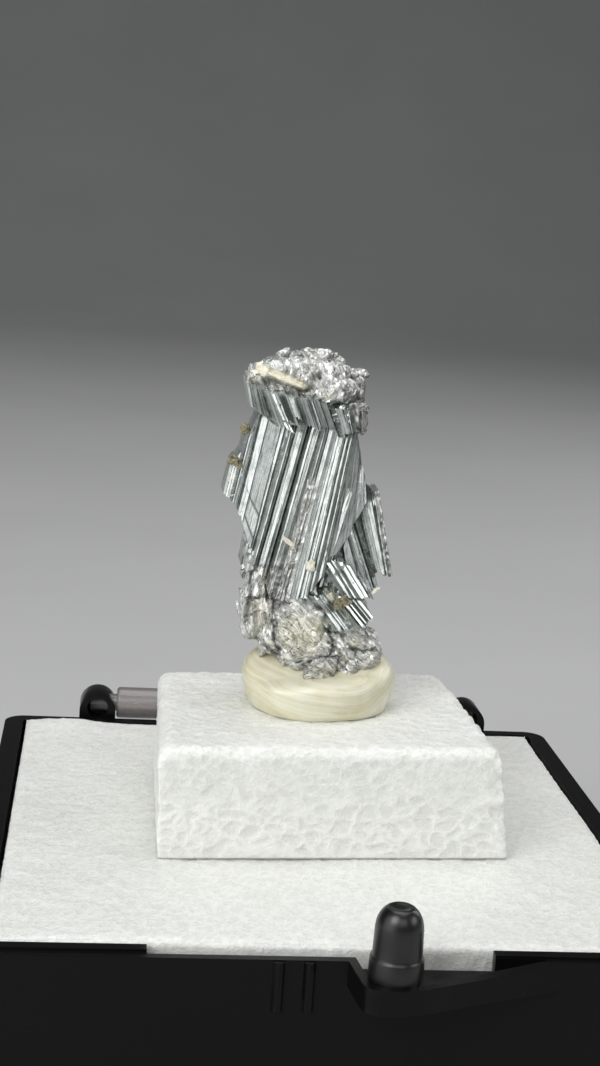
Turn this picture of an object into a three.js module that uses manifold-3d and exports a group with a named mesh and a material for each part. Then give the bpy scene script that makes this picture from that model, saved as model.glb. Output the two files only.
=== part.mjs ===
// A bournonite crystal group set in putty on a foam block, in the foam-lined base of a small display box.
// Millimetres, +Z up. The origin is the middle of the box's underside, and -Y is the front.
import * as THREE from "three";
import { mergeVertices } from "three/addons/utils/BufferGeometryUtils.js";
import Module from "manifold-3d";

const wasm = await Module();
wasm.setup();

// Driving dimensions of the box base.
const BOX_SIDE = 32;
const LINER_TOP = 8;
const WALL = 1.05;
const FLOOR = 1;
const LEDGE_DROP = 0.12;
const LIP = 0.5;
const CORNER_RADIUS = 1.1;
const LATCH_GAP = [-8.25, 6.55];
const LATCH_SKIN = 0.4;
const LATCH_DEPTH = 1;

// The hinge at the back: a clear rod held by two black lugs.
const LUG_PLACES = [-10.7, 11.4];
const LUG_WIDTH = 2.1;
const LUG_DROP = 0.3;
const ROD_RADIUS = 0.92;
const PIN_RADIUS = 0.5;
const HINGE_Y = 16.75;
const HINGE_Z = LINER_TOP + 0.6;

// Foam, putty and where the specimen stands.
const LINER_SIDE = 29.6;
const BLOCK_HEIGHT = 5.5;
const BLOCK_TOP = LINER_TOP + BLOCK_HEIGHT;
const PUTTY = { x: 0.3, y: 1.9, width: 7.9, depth: 7, height: 3.7 };
const SPECIMEN_Y = 1.5;
const FIT_GAP = 0.03;
const SMALLEST_EDGE = 0.05;

const COLOURS = {
  box: 0x101112,
  rod: 0xaaa8a6,
  foam: 0xf1f2ee,
  putty: 0xe6e0c4,
  metal: 0x8d9091,
  calcite: 0xe4dcc0,
  siderite: 0x8d7552,
};

// A repeatable number from 0 to 1 for each whole number.
const chance = (n) => {
  const v = Math.sin(n * 12.9898 + 4.1414) * 43758.5453;
  return v - Math.floor(v);
};
const between = (n, low, high) => low + (high - low) * chance(n);

// Solids: a closed three.js geometry becomes a manifold, and the joined result becomes a geometry again.
const solid = (geometry) => {
  const bare = geometry.index ? geometry.toNonIndexed() : geometry.clone();
  bare.deleteAttribute("normal");
  bare.deleteAttribute("uv");
  const merged = mergeVertices(bare, 1e-5);
  return new wasm.Manifold(
    new wasm.Mesh({
      numProp: 3,
      vertProperties: new Float32Array(merged.attributes.position.array),
      triVerts: new Uint32Array(merged.index.array),
    }),
  );
};

const geometryOf = (manifold) => {
  const mesh = manifold.getMesh();
  const geometry = new THREE.BufferGeometry();
  geometry.setAttribute("position", new THREE.BufferAttribute(mesh.vertProperties, 3));
  geometry.setIndex(new THREE.BufferAttribute(mesh.triVerts, 1));
  return geometry;
};

const joined = (geometries) =>
  geometries.map(solid).reduce((whole, piece) => whole.add(piece));

// The largest connected surface of a solid, so that gaps closed off inside it are filled.
const outerBody = (manifold) =>
  manifold.decompose().reduce((best, part) => (part.volume() > best.volume() ? part : best));

// Moves each vertex of a geometry by a rule that takes and changes its place.
const reshape = (geometry, rule) => {
  const places = geometry.attributes.position;
  const place = new THREE.Vector3();
  for (let i = 0; i < places.count; i++) {
    place.fromBufferAttribute(places, i);
    rule(place);
    places.setXYZ(i, place.x, place.y, place.z);
  }
  return geometry;
};

const material = (colour, roughness, metalness, extra = {}) =>
  new THREE.MeshStandardMaterial({ color: colour, roughness, metalness, ...extra });

const named = (name, geometry, look) => {
  const mesh = new THREE.Mesh(geometry, look);
  mesh.name = name;
  return mesh;
};

// The box base

const roundedSquare = (side, radius) => {
  const h = side / 2;
  const c = h - radius;
  const shape = new THREE.Shape();
  shape.moveTo(-c, -h);
  shape.lineTo(c, -h);
  shape.absarc(c, -c, radius, -Math.PI / 2, 0, false);
  shape.lineTo(h, c);
  shape.absarc(c, c, radius, 0, Math.PI / 2, false);
  shape.lineTo(-c, h);
  shape.absarc(-c, c, radius, Math.PI / 2, Math.PI, false);
  shape.lineTo(-h, -c);
  shape.absarc(-c, -c, radius, Math.PI, Math.PI * 1.5, false);
  return shape;
};

const slab = (shape, low, high, curveSegments = 4) => {
  const geometry = new THREE.ExtrudeGeometry(shape, {
    depth: high - low,
    bevelEnabled: false,
    curveSegments,
  });
  return geometry.translate(0, 0, low);
};

const block = (x0, x1, y0, y1, z0, z1) =>
  new THREE.BoxGeometry(x1 - x0, y1 - y0, z1 - z0).translate(
    (x0 + x1) / 2,
    (y0 + y1) / 2,
    (z0 + z1) / 2,
  );

// The latch ledge seen from above: steep on its left, a round nose, and a long slope back to the wall.
const ledgeOutline = (inset) => {
  const wallY = -BOX_SIDE / 2 + WALL / 2;
  const shape = new THREE.Shape();
  shape.moveTo(0.1 + inset, wallY);
  shape.lineTo(0.45 + inset, -18);
  shape.quadraticCurveTo(0.6 + inset, -18.75 + inset, 1.6, -18.75 + inset);
  shape.quadraticCurveTo(2.6, -18.75 + inset, 3.6, -18.3 + inset);
  shape.lineTo(9.6 - 2.2 * inset, -BOX_SIDE / 2 + inset);
  shape.lineTo(9.6 - 2.2 * inset, wallY);
  return shape;
};

const latchPost = () => {
  const foot = LINER_TOP - LATCH_DEPTH;
  const profile = [
    [0, foot],
    [1.14, foot],
    [1.12, LINER_TOP + 0.7],
    [1.03, LINER_TOP + 0.8],
    [0.99, LINER_TOP + 2.1],
    [0.88, LINER_TOP + 2.45],
    [0.66, LINER_TOP + 2.7],
    [0.4, LINER_TOP + 2.8],
    [0, LINER_TOP + 2.8],
  ].map(([r, z]) => new THREE.Vector2(r, z));
  return new THREE.LatheGeometry(profile, 16).rotateX(Math.PI / 2).translate(1.95, -17.3, 0);
};

// A lug stands on the back wall with a round top, a bore for the rod's pin and a round window to the front.
const lug = (x) => {
  const half = LUG_WIDTH / 2;
  const shape = new THREE.Shape();
  shape.moveTo(-half, -3);
  shape.lineTo(half, -3);
  shape.lineTo(half, 0);
  shape.absarc(0, 0, half, 0, Math.PI, false);
  const body = new THREE.ExtrudeGeometry(shape, { depth: 2.1, bevelEnabled: false, curveSegments: 10 });
  return body.rotateX(Math.PI / 2).translate(x, HINGE_Y + 1.05, HINGE_Z - LUG_DROP);
};

const lugBore = (x) =>
  new THREE.CylinderGeometry(PIN_RADIUS + 0.05, PIN_RADIUS + 0.05, LUG_WIDTH - 0.5, 12)
    .rotateZ(Math.PI / 2)
    .translate(x - 0.26 * Math.sign(x), HINGE_Y, HINGE_Z);

const lugWindow = (x) =>
  new THREE.CylinderGeometry(0.62, 0.62, 1.6, 14).translate(x, HINGE_Y - 0.8, HINGE_Z - 0.1);

const boxBase = () => {
  const inner = BOX_SIDE - 2 * WALL;
  const half = BOX_SIDE / 2;
  const rim = LINER_TOP - 0.05;
  const ledge = rim - LEDGE_DROP;
  const body = joined([
    slab(roundedSquare(BOX_SIDE, CORNER_RADIUS), 0, ledge),
    slab(roundedSquare(BOX_SIDE - 2 * (WALL - LIP), CORNER_RADIUS * 0.6), ledge - 1, rim),
    slab(ledgeOutline(0), LINER_TOP - LATCH_DEPTH - 0.28, ledge),
  ]);
  const hollows = [
    slab(roundedSquare(inner, CORNER_RADIUS * 0.4), FLOOR, rim + 1),
    block(...LATCH_GAP, -half + LATCH_SKIN, -half + WALL + 1, LINER_TOP - LATCH_DEPTH, rim + 1),
    slab(ledgeOutline(LATCH_SKIN), LINER_TOP - LATCH_DEPTH, rim + 1),
  ];
  const ribs = [-2.75, -1.45].map((x) =>
    new THREE.CylinderGeometry(0.26, 0.26, 2.2, 10).rotateX(Math.PI / 2).translate(x, -half, ledge - 1.15),
  );
  let tray = hollows.reduce((whole, hollow) => whole.subtract(solid(hollow)), body);
  for (const x of LUG_PLACES) {
    const ear = solid(lug(x)).subtract(solid(lugBore(x))).subtract(solid(lugWindow(x)));
    const room = solid(block(-LINER_SIDE / 2, LINER_SIDE / 2, 10, half - WALL, FLOOR, 12));
    tray = tray.add(ear.subtract(room));
  }
  tray = ribs.reduce((whole, rib) => whole.add(solid(rib)), tray);
  return geometryOf(tray.add(solid(latchPost())));
};

// The rod is thick between the lugs and has a thin pin at each end.
const hingeRod = () => {
  const [left, right] = LUG_PLACES;
  const inside = LUG_WIDTH / 2 + 0.06;
  const outside = LUG_WIDTH / 2 - 0.6;
  const profile = [
    [0, left - outside],
    [PIN_RADIUS, left - outside],
    [PIN_RADIUS, left + inside],
    [ROD_RADIUS - 0.12, left + inside],
    [ROD_RADIUS, left + inside + 0.12],
    [ROD_RADIUS, right - inside - 0.12],
    [ROD_RADIUS - 0.12, right - inside],
    [PIN_RADIUS, right - inside],
    [PIN_RADIUS, right + outside],
    [0, right + outside],
  ].map(([r, z]) => new THREE.Vector2(r, z));
  return new THREE.LatheGeometry(profile, 14).rotateZ(-Math.PI / 2).translate(0, HINGE_Y, HINGE_Z);
};

// Foam and putty

// A closed box with a few steps a side, so that its faces can be made uneven.
const unevenBox = (x, y, z, steps, rule) => {
  const geometry = new THREE.BoxGeometry(x, y, z, ...steps);
  return geometryOf(solid(reshape(geometry, rule)));
};

const foamLiner = () => {
  const height = LINER_TOP - FLOOR - 0.05;
  return unevenBox(LINER_SIDE, LINER_SIDE, height, [8, 8, 1], (p) => {
    p.z += FLOOR + 0.05 + height / 2;
    const seed = Math.round(p.x * 7 + p.y * 31);
    if (p.z > LINER_TOP - 0.1) p.z += between(seed, -0.06, 0.06);
    const backLeft = Math.max(0, 1 - Math.hypot(p.x + 12.5, p.y - LINER_SIDE / 2) / 3);
    if (p.z > LINER_TOP - 0.1) p.z += 0.25 * backLeft;
  });
};

// The block was cut by hand: its sides lean, and it sits a little turned in the box.
const foamBlock = () => {
  const feet = [[-7.65, -5.95], [9.3, -4.9], [8.45, 8.75], [-7.55, 7.2]];
  const tops = [[-7.8, -5.85], [8.7, -4.8], [7.9, 8.6], [-7.5, 7.1]];
  const corner = (corners, u, v, k) =>
    (1 - v) * ((1 - u) * corners[0][k] + u * corners[1][k]) + v * ((1 - u) * corners[3][k] + u * corners[2][k]);
  return unevenBox(1, 1, 1, [8, 7, 3], (p) => {
    const u = p.x + 0.5;
    const v = p.y + 0.5;
    const w = p.z + 0.5;
    const seed = Math.round(u * 80 + v * 700 + w * 6000);
    const onWall = u < 0.01 || u > 0.99 || v < 0.01 || v > 0.99;
    const wobble = onWall ? 0.09 : 0;
    p.x = (1 - w) * corner(feet, u, v, 0) + w * corner(tops, u, v, 0) + between(seed, -wobble, wobble);
    p.y = (1 - w) * corner(feet, u, v, 1) + w * corner(tops, u, v, 1) + between(seed + 1, -wobble, wobble);
    p.z = LINER_TOP + 0.1 + w * (BLOCK_HEIGHT - 0.1) + (w > 0.99 ? between(seed + 2, -0.07, 0.04) : 0);
  });
};

// A pressed ball of putty, low in front of the stone and high behind it and on the right.
const puttyBall = () => {
  const ball = new THREE.SphereGeometry(1, 20, 12).rotateX(Math.PI / 2);
  const foot = BLOCK_TOP + 0.08;
  return reshape(ball, (p) => {
    const spread = 1 + 0.03 * Math.sin(3 * Math.atan2(p.y, p.x) + 1) + 0.02 * Math.sin(7 * p.x + 4 * p.z);
    const z = Math.max(p.z, -0.62);
    const fullness = p.z < 0 ? (1 - z * z) ** -0.27 : 1 - 0.08 * p.z;
    p.x = PUTTY.x + p.x * spread * (PUTTY.width / 2) * fullness;
    p.y = PUTTY.y + p.y * spread * (PUTTY.depth / 2) * fullness;
    const rise = THREE.MathUtils.smoothstep(p.y, 0, 3);
    const most = BLOCK_TOP + 1.6 + 1.9 * rise + 0.1 * p.x;
    p.z = Math.min(most, foot + (PUTTY.height * (z + 0.62)) / 1.62);
  });
};

// The crystal group

// The group's own frame has x across the photograph's view, y away from it, and z up from the liner's top.
// A bundle is a row of prisms side by side. Each prism is given as
// [left edge at the bundle's own level, width, front face, foot, top, lean in degrees].
const BUNDLES = {
  blade: {
    level: 17.5,
    back: 1.7,
    evenFoot: true,
    prisms: [
      [-4.8, 0.34, -0.4, 16.35, 18.0, 11],
      [-4.48, 0.36, -0.5, 16.1, 19.4, 11],
      [-4.16, 0.38, -0.66, 15.8, 20.4, 11],
      [-3.8, 0.16, -0.9, 15.35, 20.6, 10.5],
      [-3.66, 0.76, -0.82, 15.0, 20.4, 10.8],
      [-2.92, 0.32, -0.98, 13.7, 20.4, 11.4],
      [-2.62, 0.38, -0.86, 13.3, 20.4, 12],
      [-2.26, 0.3, -1.0, 12.8, 20.4, 12],
      [-1.98, 0.28, -1.08, 12.4, 20.4, 12],
      [-1.72, 0.28, -0.8, 12.2, 20.4, 12],
      [-1.46, 0.4, -1.14, 11.7, 20.4, 11.8],
      [-1.08, 0.52, -0.94, 11.35, 20.4, 11.4],
      [-0.58, 0.22, -1.12, 11.15, 20.4, 11],
      [-0.38, 0.42, -1.02, 11.15, 20.4, 10.4],
      [0.02, 0.5, -1.16, 11.3, 20.4, 9.6],
      [0.5, 0.34, -1.1, 11.8, 20.4, 8.8],
      [0.82, 0.42, -0.9, 12.7, 20.4, 7],
      [1.2, 0.36, -0.74, 15.1, 20.4, 2],
      [1.44, 0.44, -0.6, 15.1, 18.2, 6],
    ],
  },
  cap: {
    level: 20.5,
    back: 1.6,
    prisms: [
      [-3.93, 0.42, -1.16, 20.55, 22.45, -13],
      [-3.55, 0.72, -1.46, 19.95, 22.3, -17],
      [-2.86, 0.28, -1.6, 20.1, 21.7, -24],
      [-2.6, 0.32, -1.74, 19.75, 21.45, -26],
      [-2.3, 0.44, -1.6, 20.1, 21.5, -24],
      [-1.88, 0.52, -1.44, 20.25, 21.45, -23],
      [-1.38, 0.26, -1.6, 20.0, 21.4, -22],
      [-1.14, 0.3, -1.72, 19.95, 21.4, -22],
      [-0.86, 0.38, -1.58, 20.0, 21.3, -22],
      [-0.5, 0.38, -1.5, 19.9, 21.2, -22],
      [-0.14, 0.4, -1.66, 19.5, 20.95, -24],
      [0.24, 0.5, -1.54, 19.75, 20.9, -18],
      [0.72, 0.5, -1.44, 19.85, 20.9, -12],
      [1.2, 0.4, -1.2, 19.8, 20.9, -6],
    ],
  },
  wing: {
    level: 15,
    back: 1.5,
    prisms: [
      [2.05, 0.26, -0.5, 13.1, 16.8, -17],
      [2.27, 0.34, -0.6, 12.8, 17.25, -16],
      [2.56, 0.46, -0.4, 12.65, 16.7, -12.5],
    ],
  },
  inset: {
    level: 13.5,
    back: 1.8,
    prisms: [
      [1.1, 0.42, -0.5, 12.4, 14.7, -18],
      [1.5, 0.3, -0.4, 11.8, 14.9, -20],
      [1.78, 0.32, -0.56, 11.6, 15.2, -21],
      [2.08, 0.34, -0.3, 11.9, 15.6, -20],
      [2.4, 0.26, -0.16, 12.6, 15.4, -18],
    ],
  },
  fan: {
    level: 12.4,
    back: 1.9,
    prisms: [
      [0.5, 0.36, -0.92, 11.5, 12.95, -36],
      [0.84, 0.34, -1.02, 11.5, 13.2, -36],
      [1.16, 0.36, -1.08, 11.5, 13.3, -35],
      [1.5, 0.32, -0.94, 11.5, 13.1, -34],
      [1.8, 0.34, -0.8, 11.4, 12.7, -33],
    ],
  },
  rungs: {
    level: 10.6,
    back: 1.9,
    prisms: [
      [-0.1, 0.4, -1.3, 9.9, 11.5, -38],
      [0.26, 0.38, -1.42, 9.7, 11.5, -38],
      [0.6, 0.42, -1.3, 9.6, 11.6, -39],
      [1.0, 0.5, -1.1, 9.7, 11.7, -41],
      [1.42, 0.4, -1.24, 9.9, 11.7, -42],
      [1.78, 0.36, -1.32, 10.05, 11.6, -42],
      [2.1, 0.34, -1.2, 10.2, 11.5, -42],
      [2.4, 0.3, -1.02, 10.4, 11.4, -42],
    ],
  },
  pages: {
    level: 10,
    back: 1.6,
    prisms: [
      [-3.62, 0.3, -1.2, 9.3, 11.2, 2],
      [-3.34, 0.26, -1.42, 9.1, 11.5, 2],
      [-3.1, 0.3, -1.3, 8.95, 11.6, 3],
      [-2.82, 0.24, -1.5, 8.9, 11.4, 3],
      [-2.6, 0.3, -1.36, 8.8, 11.2, 4],
      [-2.32, 0.22, -1.52, 8.8, 10.9, 4],
    ],
  },
  rear: {
    level: 16,
    back: 2.5,
    striatedBack: true,
    prisms: [
      [-3.4, 0.7, 0.4, 12.6, 19.6, 9],
      [-2.72, 0.62, 0.4, 11.2, 21.0, 8],
      [-2.12, 0.74, 0.4, 10.4, 21.6, 7],
      [-1.4, 0.6, 0.4, 10.2, 21.1, 6],
      [-0.82, 0.72, 0.4, 10.6, 21.4, 5],
      [-0.12, 0.66, 0.4, 11.2, 20.0, 4],
      [0.5, 0.6, 0.4, 12.4, 18.3, 2],
    ],
  },
};

// The section of one prism: stepped facets on its front, which are the striations, and on an open back.
const striatedSection = (width, front, back, striatedBack, seed) => {
  const steps = Math.max(1, Math.round(width / 0.24));
  const side = (count, sign, from, level) => {
    const points = [];
    for (let i = 0; i <= count; i++) {
      const ridge = i === 0 || i === count ? 0 : between(seed + i * 5 + from, -0.08, 0.1);
      points.push(new THREE.Vector2((width * i) / count, level - sign * ridge));
    }
    return points;
  };
  const near = side(steps, 1, 1, front);
  const far = side(striatedBack ? steps : 1, -1, 50, back + between(seed + 9, -0.25, 0.25)).reverse();
  return new THREE.Shape([...near, ...far]);
};

const prism = (row, next, { level, back, evenFoot, striatedBack }, seed) => {
  const [left, width, front, foot, top, lean] = row;
  const section = striatedSection(width, front, back, striatedBack, seed);
  const geometry = new THREE.ExtrudeGeometry(section, { depth: top - foot, bevelEnabled: false });
  const half = (top - foot) / 2;
  const follow = next ? (next[3] - foot) / (next[0] - left) : 0.3;
  const footSlope = evenFoot ? follow + between(seed + 21, -0.25, 0.25) : between(seed + 21, -0.7, 0.2);
  const topSlope = between(seed + 22, -0.4, 0.4);
  const footCut = between(seed + 23, 0, 0.25);
  const topCut = between(seed + 24, -0.3, 0);
  const slide = Math.tan(THREE.MathUtils.degToRad(lean));
  return reshape(geometry, (p) => {
    const low = p.z < half;
    p.z += low ? footSlope * p.x + footCut * (p.y - front) : topSlope * (p.x - width / 2) + topCut * (p.y - front);
    p.z += foot;
    p.x += left + slide * (p.z - level);
  });
};

const bundle = (one, seed) => one.prisms.map((row, i) => prism(row, one.prisms[i + 1], one, seed + i * 37));

// Broken lumps at the foot of the group: [x, y, z, half width, half depth, half height].
const LUMPS = [
  [-3.15, 0.2, 12.9, 0.75, 1.2, 1.75],
  [-2.75, 0.3, 10.7, 1.15, 1.5, 2.0],
  [-1.05, 0.1, 9.9, 1.6, 1.75, 1.75],
  [0.35, 0.1, 7.95, 1.15, 1.7, 1.05],
  [1.4, 0.3, 9.6, 1.6, 1.6, 1.6],
  [2.15, 0.2, 8.35, 1.25, 1.7, 1.35],
  [-0.3, 0.6, 12, 2.1, 1.5, 2.6],
];

const lump = ([x, y, z, rx, ry, rz], seed) => {
  const geometry = new THREE.IcosahedronGeometry(1, 2);
  return reshape(geometry, (p) => {
    const key = Math.round(p.x * 311) + Math.round(p.y * 733) * 3 + Math.round(p.z * 1217) * 7;
    const square = 0.94 / Math.pow(p.x ** 4 + p.y ** 4 + p.z ** 4, 0.14);
    const swell = 1 + between(key + seed, -0.07, 0.07);
    p.multiply(new THREE.Vector3(rx, ry, rz).multiplyScalar(swell * square));
    p.add(new THREE.Vector3(x, y, z));
  });
};

// Angular chips stand out of the lumps, on the front and the back.
const chips = () =>
  LUMPS.flatMap(([x, y, z, rx, ry, rz], i) =>
    [0, 1, 2, 3, 4, 5].map((k) => {
      const seed = 400 + i * 61 + k * 9;
      const round = between(seed, 0, 2 * Math.PI);
      const up = between(seed + 1, -0.75, 0.6);
      const out = 0.96 * Math.sqrt(1 - up * up);
      const place = [x + rx * out * Math.cos(round), y + ry * out * Math.sin(round), z + rz * up];
      return grain(...place, between(seed + 2, 0.3, 0.5), seed + 3);
    }),
  );

// Curved leaves sweep down round the front of the middle lump.
const LEAVES = [
  [[-2.75, -1.0, 9.1], [-2.3, -1.35, 8.5], [-1.4, -1.5, 7.75], [-0.75, -1.4, 7.45]],
  [[-2.52, -1.13, 9.53], [-2.1, -1.5, 8.85], [-1.3, -1.65, 8.1], [-0.65, -1.5, 7.75]],
  [[-2.2, -1.25, 9.9], [-1.85, -1.6, 9.3], [-1.15, -1.75, 8.5], [-0.5, -1.55, 8.1]],
];

const leaf = (places) => {
  const path = new THREE.CatmullRomCurve3(places.map((place) => new THREE.Vector3(...place)));
  const section = new THREE.Shape();
  section.moveTo(-0.3, -0.09);
  section.lineTo(0.3, -0.03);
  section.lineTo(0.3, 0.05);
  section.lineTo(-0.3, 0.09);
  section.closePath();
  return new THREE.ExtrudeGeometry(section, { steps: 6, extrudePath: path });
};

// The summit: a body that rises to the back, with small crystals standing all over it.
const SUMMIT = { left: -3.95, width: 5.1, front: -1.3, edge: 22.0, slope: 0.2 };

const summitHeight = (x, y) => {
  const rise = Math.min(1, Math.max(0, (y - SUMMIT.front) / 2));
  const shoulder = 0.5 * Math.max(0, 1 - (x - SUMMIT.left) / 1.2);
  return SUMMIT.edge + (1.3 - shoulder) * rise - 0.4 * Math.max(0, y - 0.8) - SUMMIT.slope * (x - SUMMIT.left);
};

const summit = () => {
  const corners = [[-1.3, 20.3], [-1.3, 21.3], [-0.3, 22], [0.7, 22.6], [1.6, 22.1], [2.0, 21], [1.9, 20.3]];
  const shape = new THREE.Shape(corners.map(([y, z]) => new THREE.Vector2(y, z)));
  const geometry = new THREE.ExtrudeGeometry(shape, { depth: SUMMIT.width, bevelEnabled: false, steps: 5 });
  geometry.rotateX(Math.PI / 2).rotateZ(Math.PI / 2).translate(SUMMIT.left, 0, 0);
  return reshape(geometry, (p) => {
    if (p.z > 21) p.z = summitHeight(p.x, p.y) - 0.1 - (p.y > 1.7 ? 0.8 : 0);
    else p.x += 0.4 - 0.16 * (p.x - SUMMIT.left);
  });
};

const grain = (x, y, z, size, seed) => {
  const geometry = new THREE.IcosahedronGeometry(size, 0);
  geometry.scale(between(seed, 0.7, 1.15), between(seed + 1, 0.7, 1.15), between(seed + 2, 0.8, 1.4));
  geometry.rotateX(between(seed + 3, 0, 3)).rotateY(between(seed + 4, 0, 3));
  return geometry.translate(x, y, z);
};

const summitGrains = () => {
  const grains = [];
  for (let i = 0; i < 36; i++) {
    const x = between(i * 3 + 700, -3.7, 1.0);
    const y = between(i * 3 + 801, -0.9, 1.6);
    grains.push(grain(x, y, summitHeight(x, y) - 0.1, between(i + 900, 0.22, 0.4), i * 7));
  }
  return grains;
};

// Pieces that make the outline: [x, y, z, size]. The bright lump, the crest, and the hooked crystal on the right.
const LANDMARKS = [
  [-2.5, 0.2, 23.1, 0.38],
  [-1.9, 0.3, 22.85, 0.45],
  [-1.3, 0.3, 22.95, 0.5],
  [-0.75, 0.2, 22.8, 0.5],
  [-0.25, 0.2, 23.0, 0.42],
  [0.1, 0.1, 22.75, 0.4],
  [0.35, 0.0, 22.3, 0.5],
  [0.95, -0.1, 22.5, 0.32],
  [1.35, -0.1, 22.62, 0.26],
  [1.2, -0.2, 22.0, 0.42],
  [1.1, -0.4, 21.4, 0.42],
  [1.2, -0.6, 20.8, 0.4],
  [-0.3, -1.0, 21.9, 0.5],
  [0.25, -1.0, 21.7, 0.55],
  [-0.15, -1.15, 21.4, 0.42],
  [0.55, -0.95, 21.2, 0.45],
  [-3.9, -0.9, 22.35, 0.4],
  [-3.3, -1.1, 22.3, 0.34],
];

const bournonite = () => {
  const prisms = Object.values(BUNDLES).flatMap((one, i) => bundle(one, 1000 * (i + 1)));
  const lumps = LUMPS.map((row, i) => lump(row, i * 3 + 2));
  const landmarks = LANDMARKS.map((row, i) => grain(...row, i * 5 + 60));
  const parts = [...prisms, ...lumps, ...chips(), ...LEAVES.map(leaf), summit(), ...summitGrains(), ...landmarks];
  return outerBody(outerBody(joined(parts)).asOriginal().simplify(SMALLEST_EDGE));
};

// Small grains of other minerals on the group: [name, x, y, z, half sizes, turn].
const ACCESSORIES = [
  ["calcite_rod", -1.75, -1.28, 14.2, [0.36, 0.13, 0.12], 38],
  ["calcite_grain", -0.61, -1.3, 13.07, [0.22, 0.15, 0.27], 0],
  ["calcite_curl", 2.8, -0.8, 11.85, [0.3, 0.12, 0.1], -42],
  ["siderite_tuft", -4.5, -0.4, 17.95, [0.36, 0.3, 0.3], 15],
  ["siderite_speck", -4.15, -0.3, 19.55, [0.24, 0.25, 0.3], 20],
  ["siderite_patch", 1.05, -1.45, 11.3, [0.42, 0.2, 0.34], -40],
];

const accessory = ([, x, y, z, [rx, ry, rz], turn], i) =>
  reshape(new THREE.IcosahedronGeometry(1, 1), (p) => {
    p.multiplyScalar(0.92 + 0.16 * chance(Math.round(p.x * 97 + p.y * 193 + p.z * 389) + i));
    p.multiply(new THREE.Vector3(rx, ry, rz));
  })
    .rotateY(THREE.MathUtils.degToRad(turn))
    .translate(x, y, z);

// Assembly

const root = new THREE.Group();

root.add(
  named("box_base", boxBase(), material(COLOURS.box, 0.25, 0)),
  named("hinge_rod", hingeRod(), material(COLOURS.rod, 0.15, 0, { transparent: true, opacity: 0.7 })),
  named("foam_liner", foamLiner(), material(COLOURS.foam, 0.9, 0)),
  named("foam_block", foamBlock(), material(COLOURS.foam, 0.9, 0)),
);

const stone = bournonite().translate(0, SPECIMEN_Y, LINER_TOP);
const gap = FIT_GAP;
const nudges = [[0, 0, -gap], [gap, 0, 0], [-gap, 0, 0], [0, gap, 0], [0, -gap, 0]];
const cup = nudges.reduce((left, nudge) => left.subtract(stone.translate(...nudge)), solid(puttyBall()));
const putty = outerBody(cup).asOriginal().simplify(gap / 2);

root.add(
  named("putty", geometryOf(putty), material(COLOURS.putty, 0.45, 0)),
  named("bournonite", geometryOf(stone), material(COLOURS.metal, 0.25, 1)),
);

ACCESSORIES.forEach((row, i) => {
  const piece = solid(accessory(row, i)).translate(0, SPECIMEN_Y, LINER_TOP).subtract(stone);
  const colour = row[0].startsWith("calcite") ? COLOURS.calcite : COLOURS.siderite;
  root.add(named(row[0], geometryOf(piece), material(colour, 0.5, 0)));
});

export default root;
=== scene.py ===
"""A bournonite crystal group in putty on foam, in a small display box's base: looks, light and camera."""

import math
import random

import bmesh
import bpy
from mathutils import Matrix, Vector, noise


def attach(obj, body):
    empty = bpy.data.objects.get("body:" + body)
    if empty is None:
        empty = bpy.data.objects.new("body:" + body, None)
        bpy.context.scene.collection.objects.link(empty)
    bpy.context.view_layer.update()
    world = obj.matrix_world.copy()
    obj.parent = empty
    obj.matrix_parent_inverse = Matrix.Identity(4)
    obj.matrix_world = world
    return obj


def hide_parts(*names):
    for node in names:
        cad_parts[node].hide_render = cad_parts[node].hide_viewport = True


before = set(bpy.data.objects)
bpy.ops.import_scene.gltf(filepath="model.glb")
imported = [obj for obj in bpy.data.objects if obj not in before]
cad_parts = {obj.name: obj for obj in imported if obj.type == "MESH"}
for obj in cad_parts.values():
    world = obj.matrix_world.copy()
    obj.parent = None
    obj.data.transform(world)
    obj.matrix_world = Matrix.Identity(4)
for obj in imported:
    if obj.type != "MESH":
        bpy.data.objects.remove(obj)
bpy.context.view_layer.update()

# Without a seed, the noise vectors would differ from run to run.
noise.seed_set(7)

# Lengths below are in millimetres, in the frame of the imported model, unless a name says otherwise.
MM = 0.001
LINER_TOP = 8.0
BLOCK_HEIGHT = 5.5
BLOCK_TOP = LINER_TOP + BLOCK_HEIGHT
STONE_PLACE = Vector((0, 1.5, LINER_TOP))

# The camera, fitted to the foam's edges in a frame of 600 by 1066.
CAMERA_PLACE = Vector((-10.82, -83.4, 39.71))
CAMERA_YAW = math.radians(6.53)
CAMERA_PITCH = math.radians(-11.43)
CAMERA_ROLL = math.radians(3.9)
CAMERA_LENS = 59.1


# Meshes

def new_piece(name, points, faces, place=(0, 0, 0)):
    """A mesh object from points and faces in millimetres."""
    mesh = bpy.data.meshes.new(name)
    place = Vector(place)
    mesh.from_pydata([(Vector(p) + place) * MM for p in points], [], faces)
    mesh.validate()
    mesh.update()
    piece = bpy.data.objects.new(name, mesh)
    bpy.context.scene.collection.objects.link(piece)
    return piece


def from_bmesh(name, bm, place=(0, 0, 0)):
    """A mesh object from a bmesh in millimetres, which is freed."""
    bm.verts.index_update()
    points = [v.co.copy() for v in bm.verts]
    faces = [[v.index for v in f.verts] for f in bm.faces]
    bm.free()
    return new_piece(name, points, faces, place)


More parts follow.
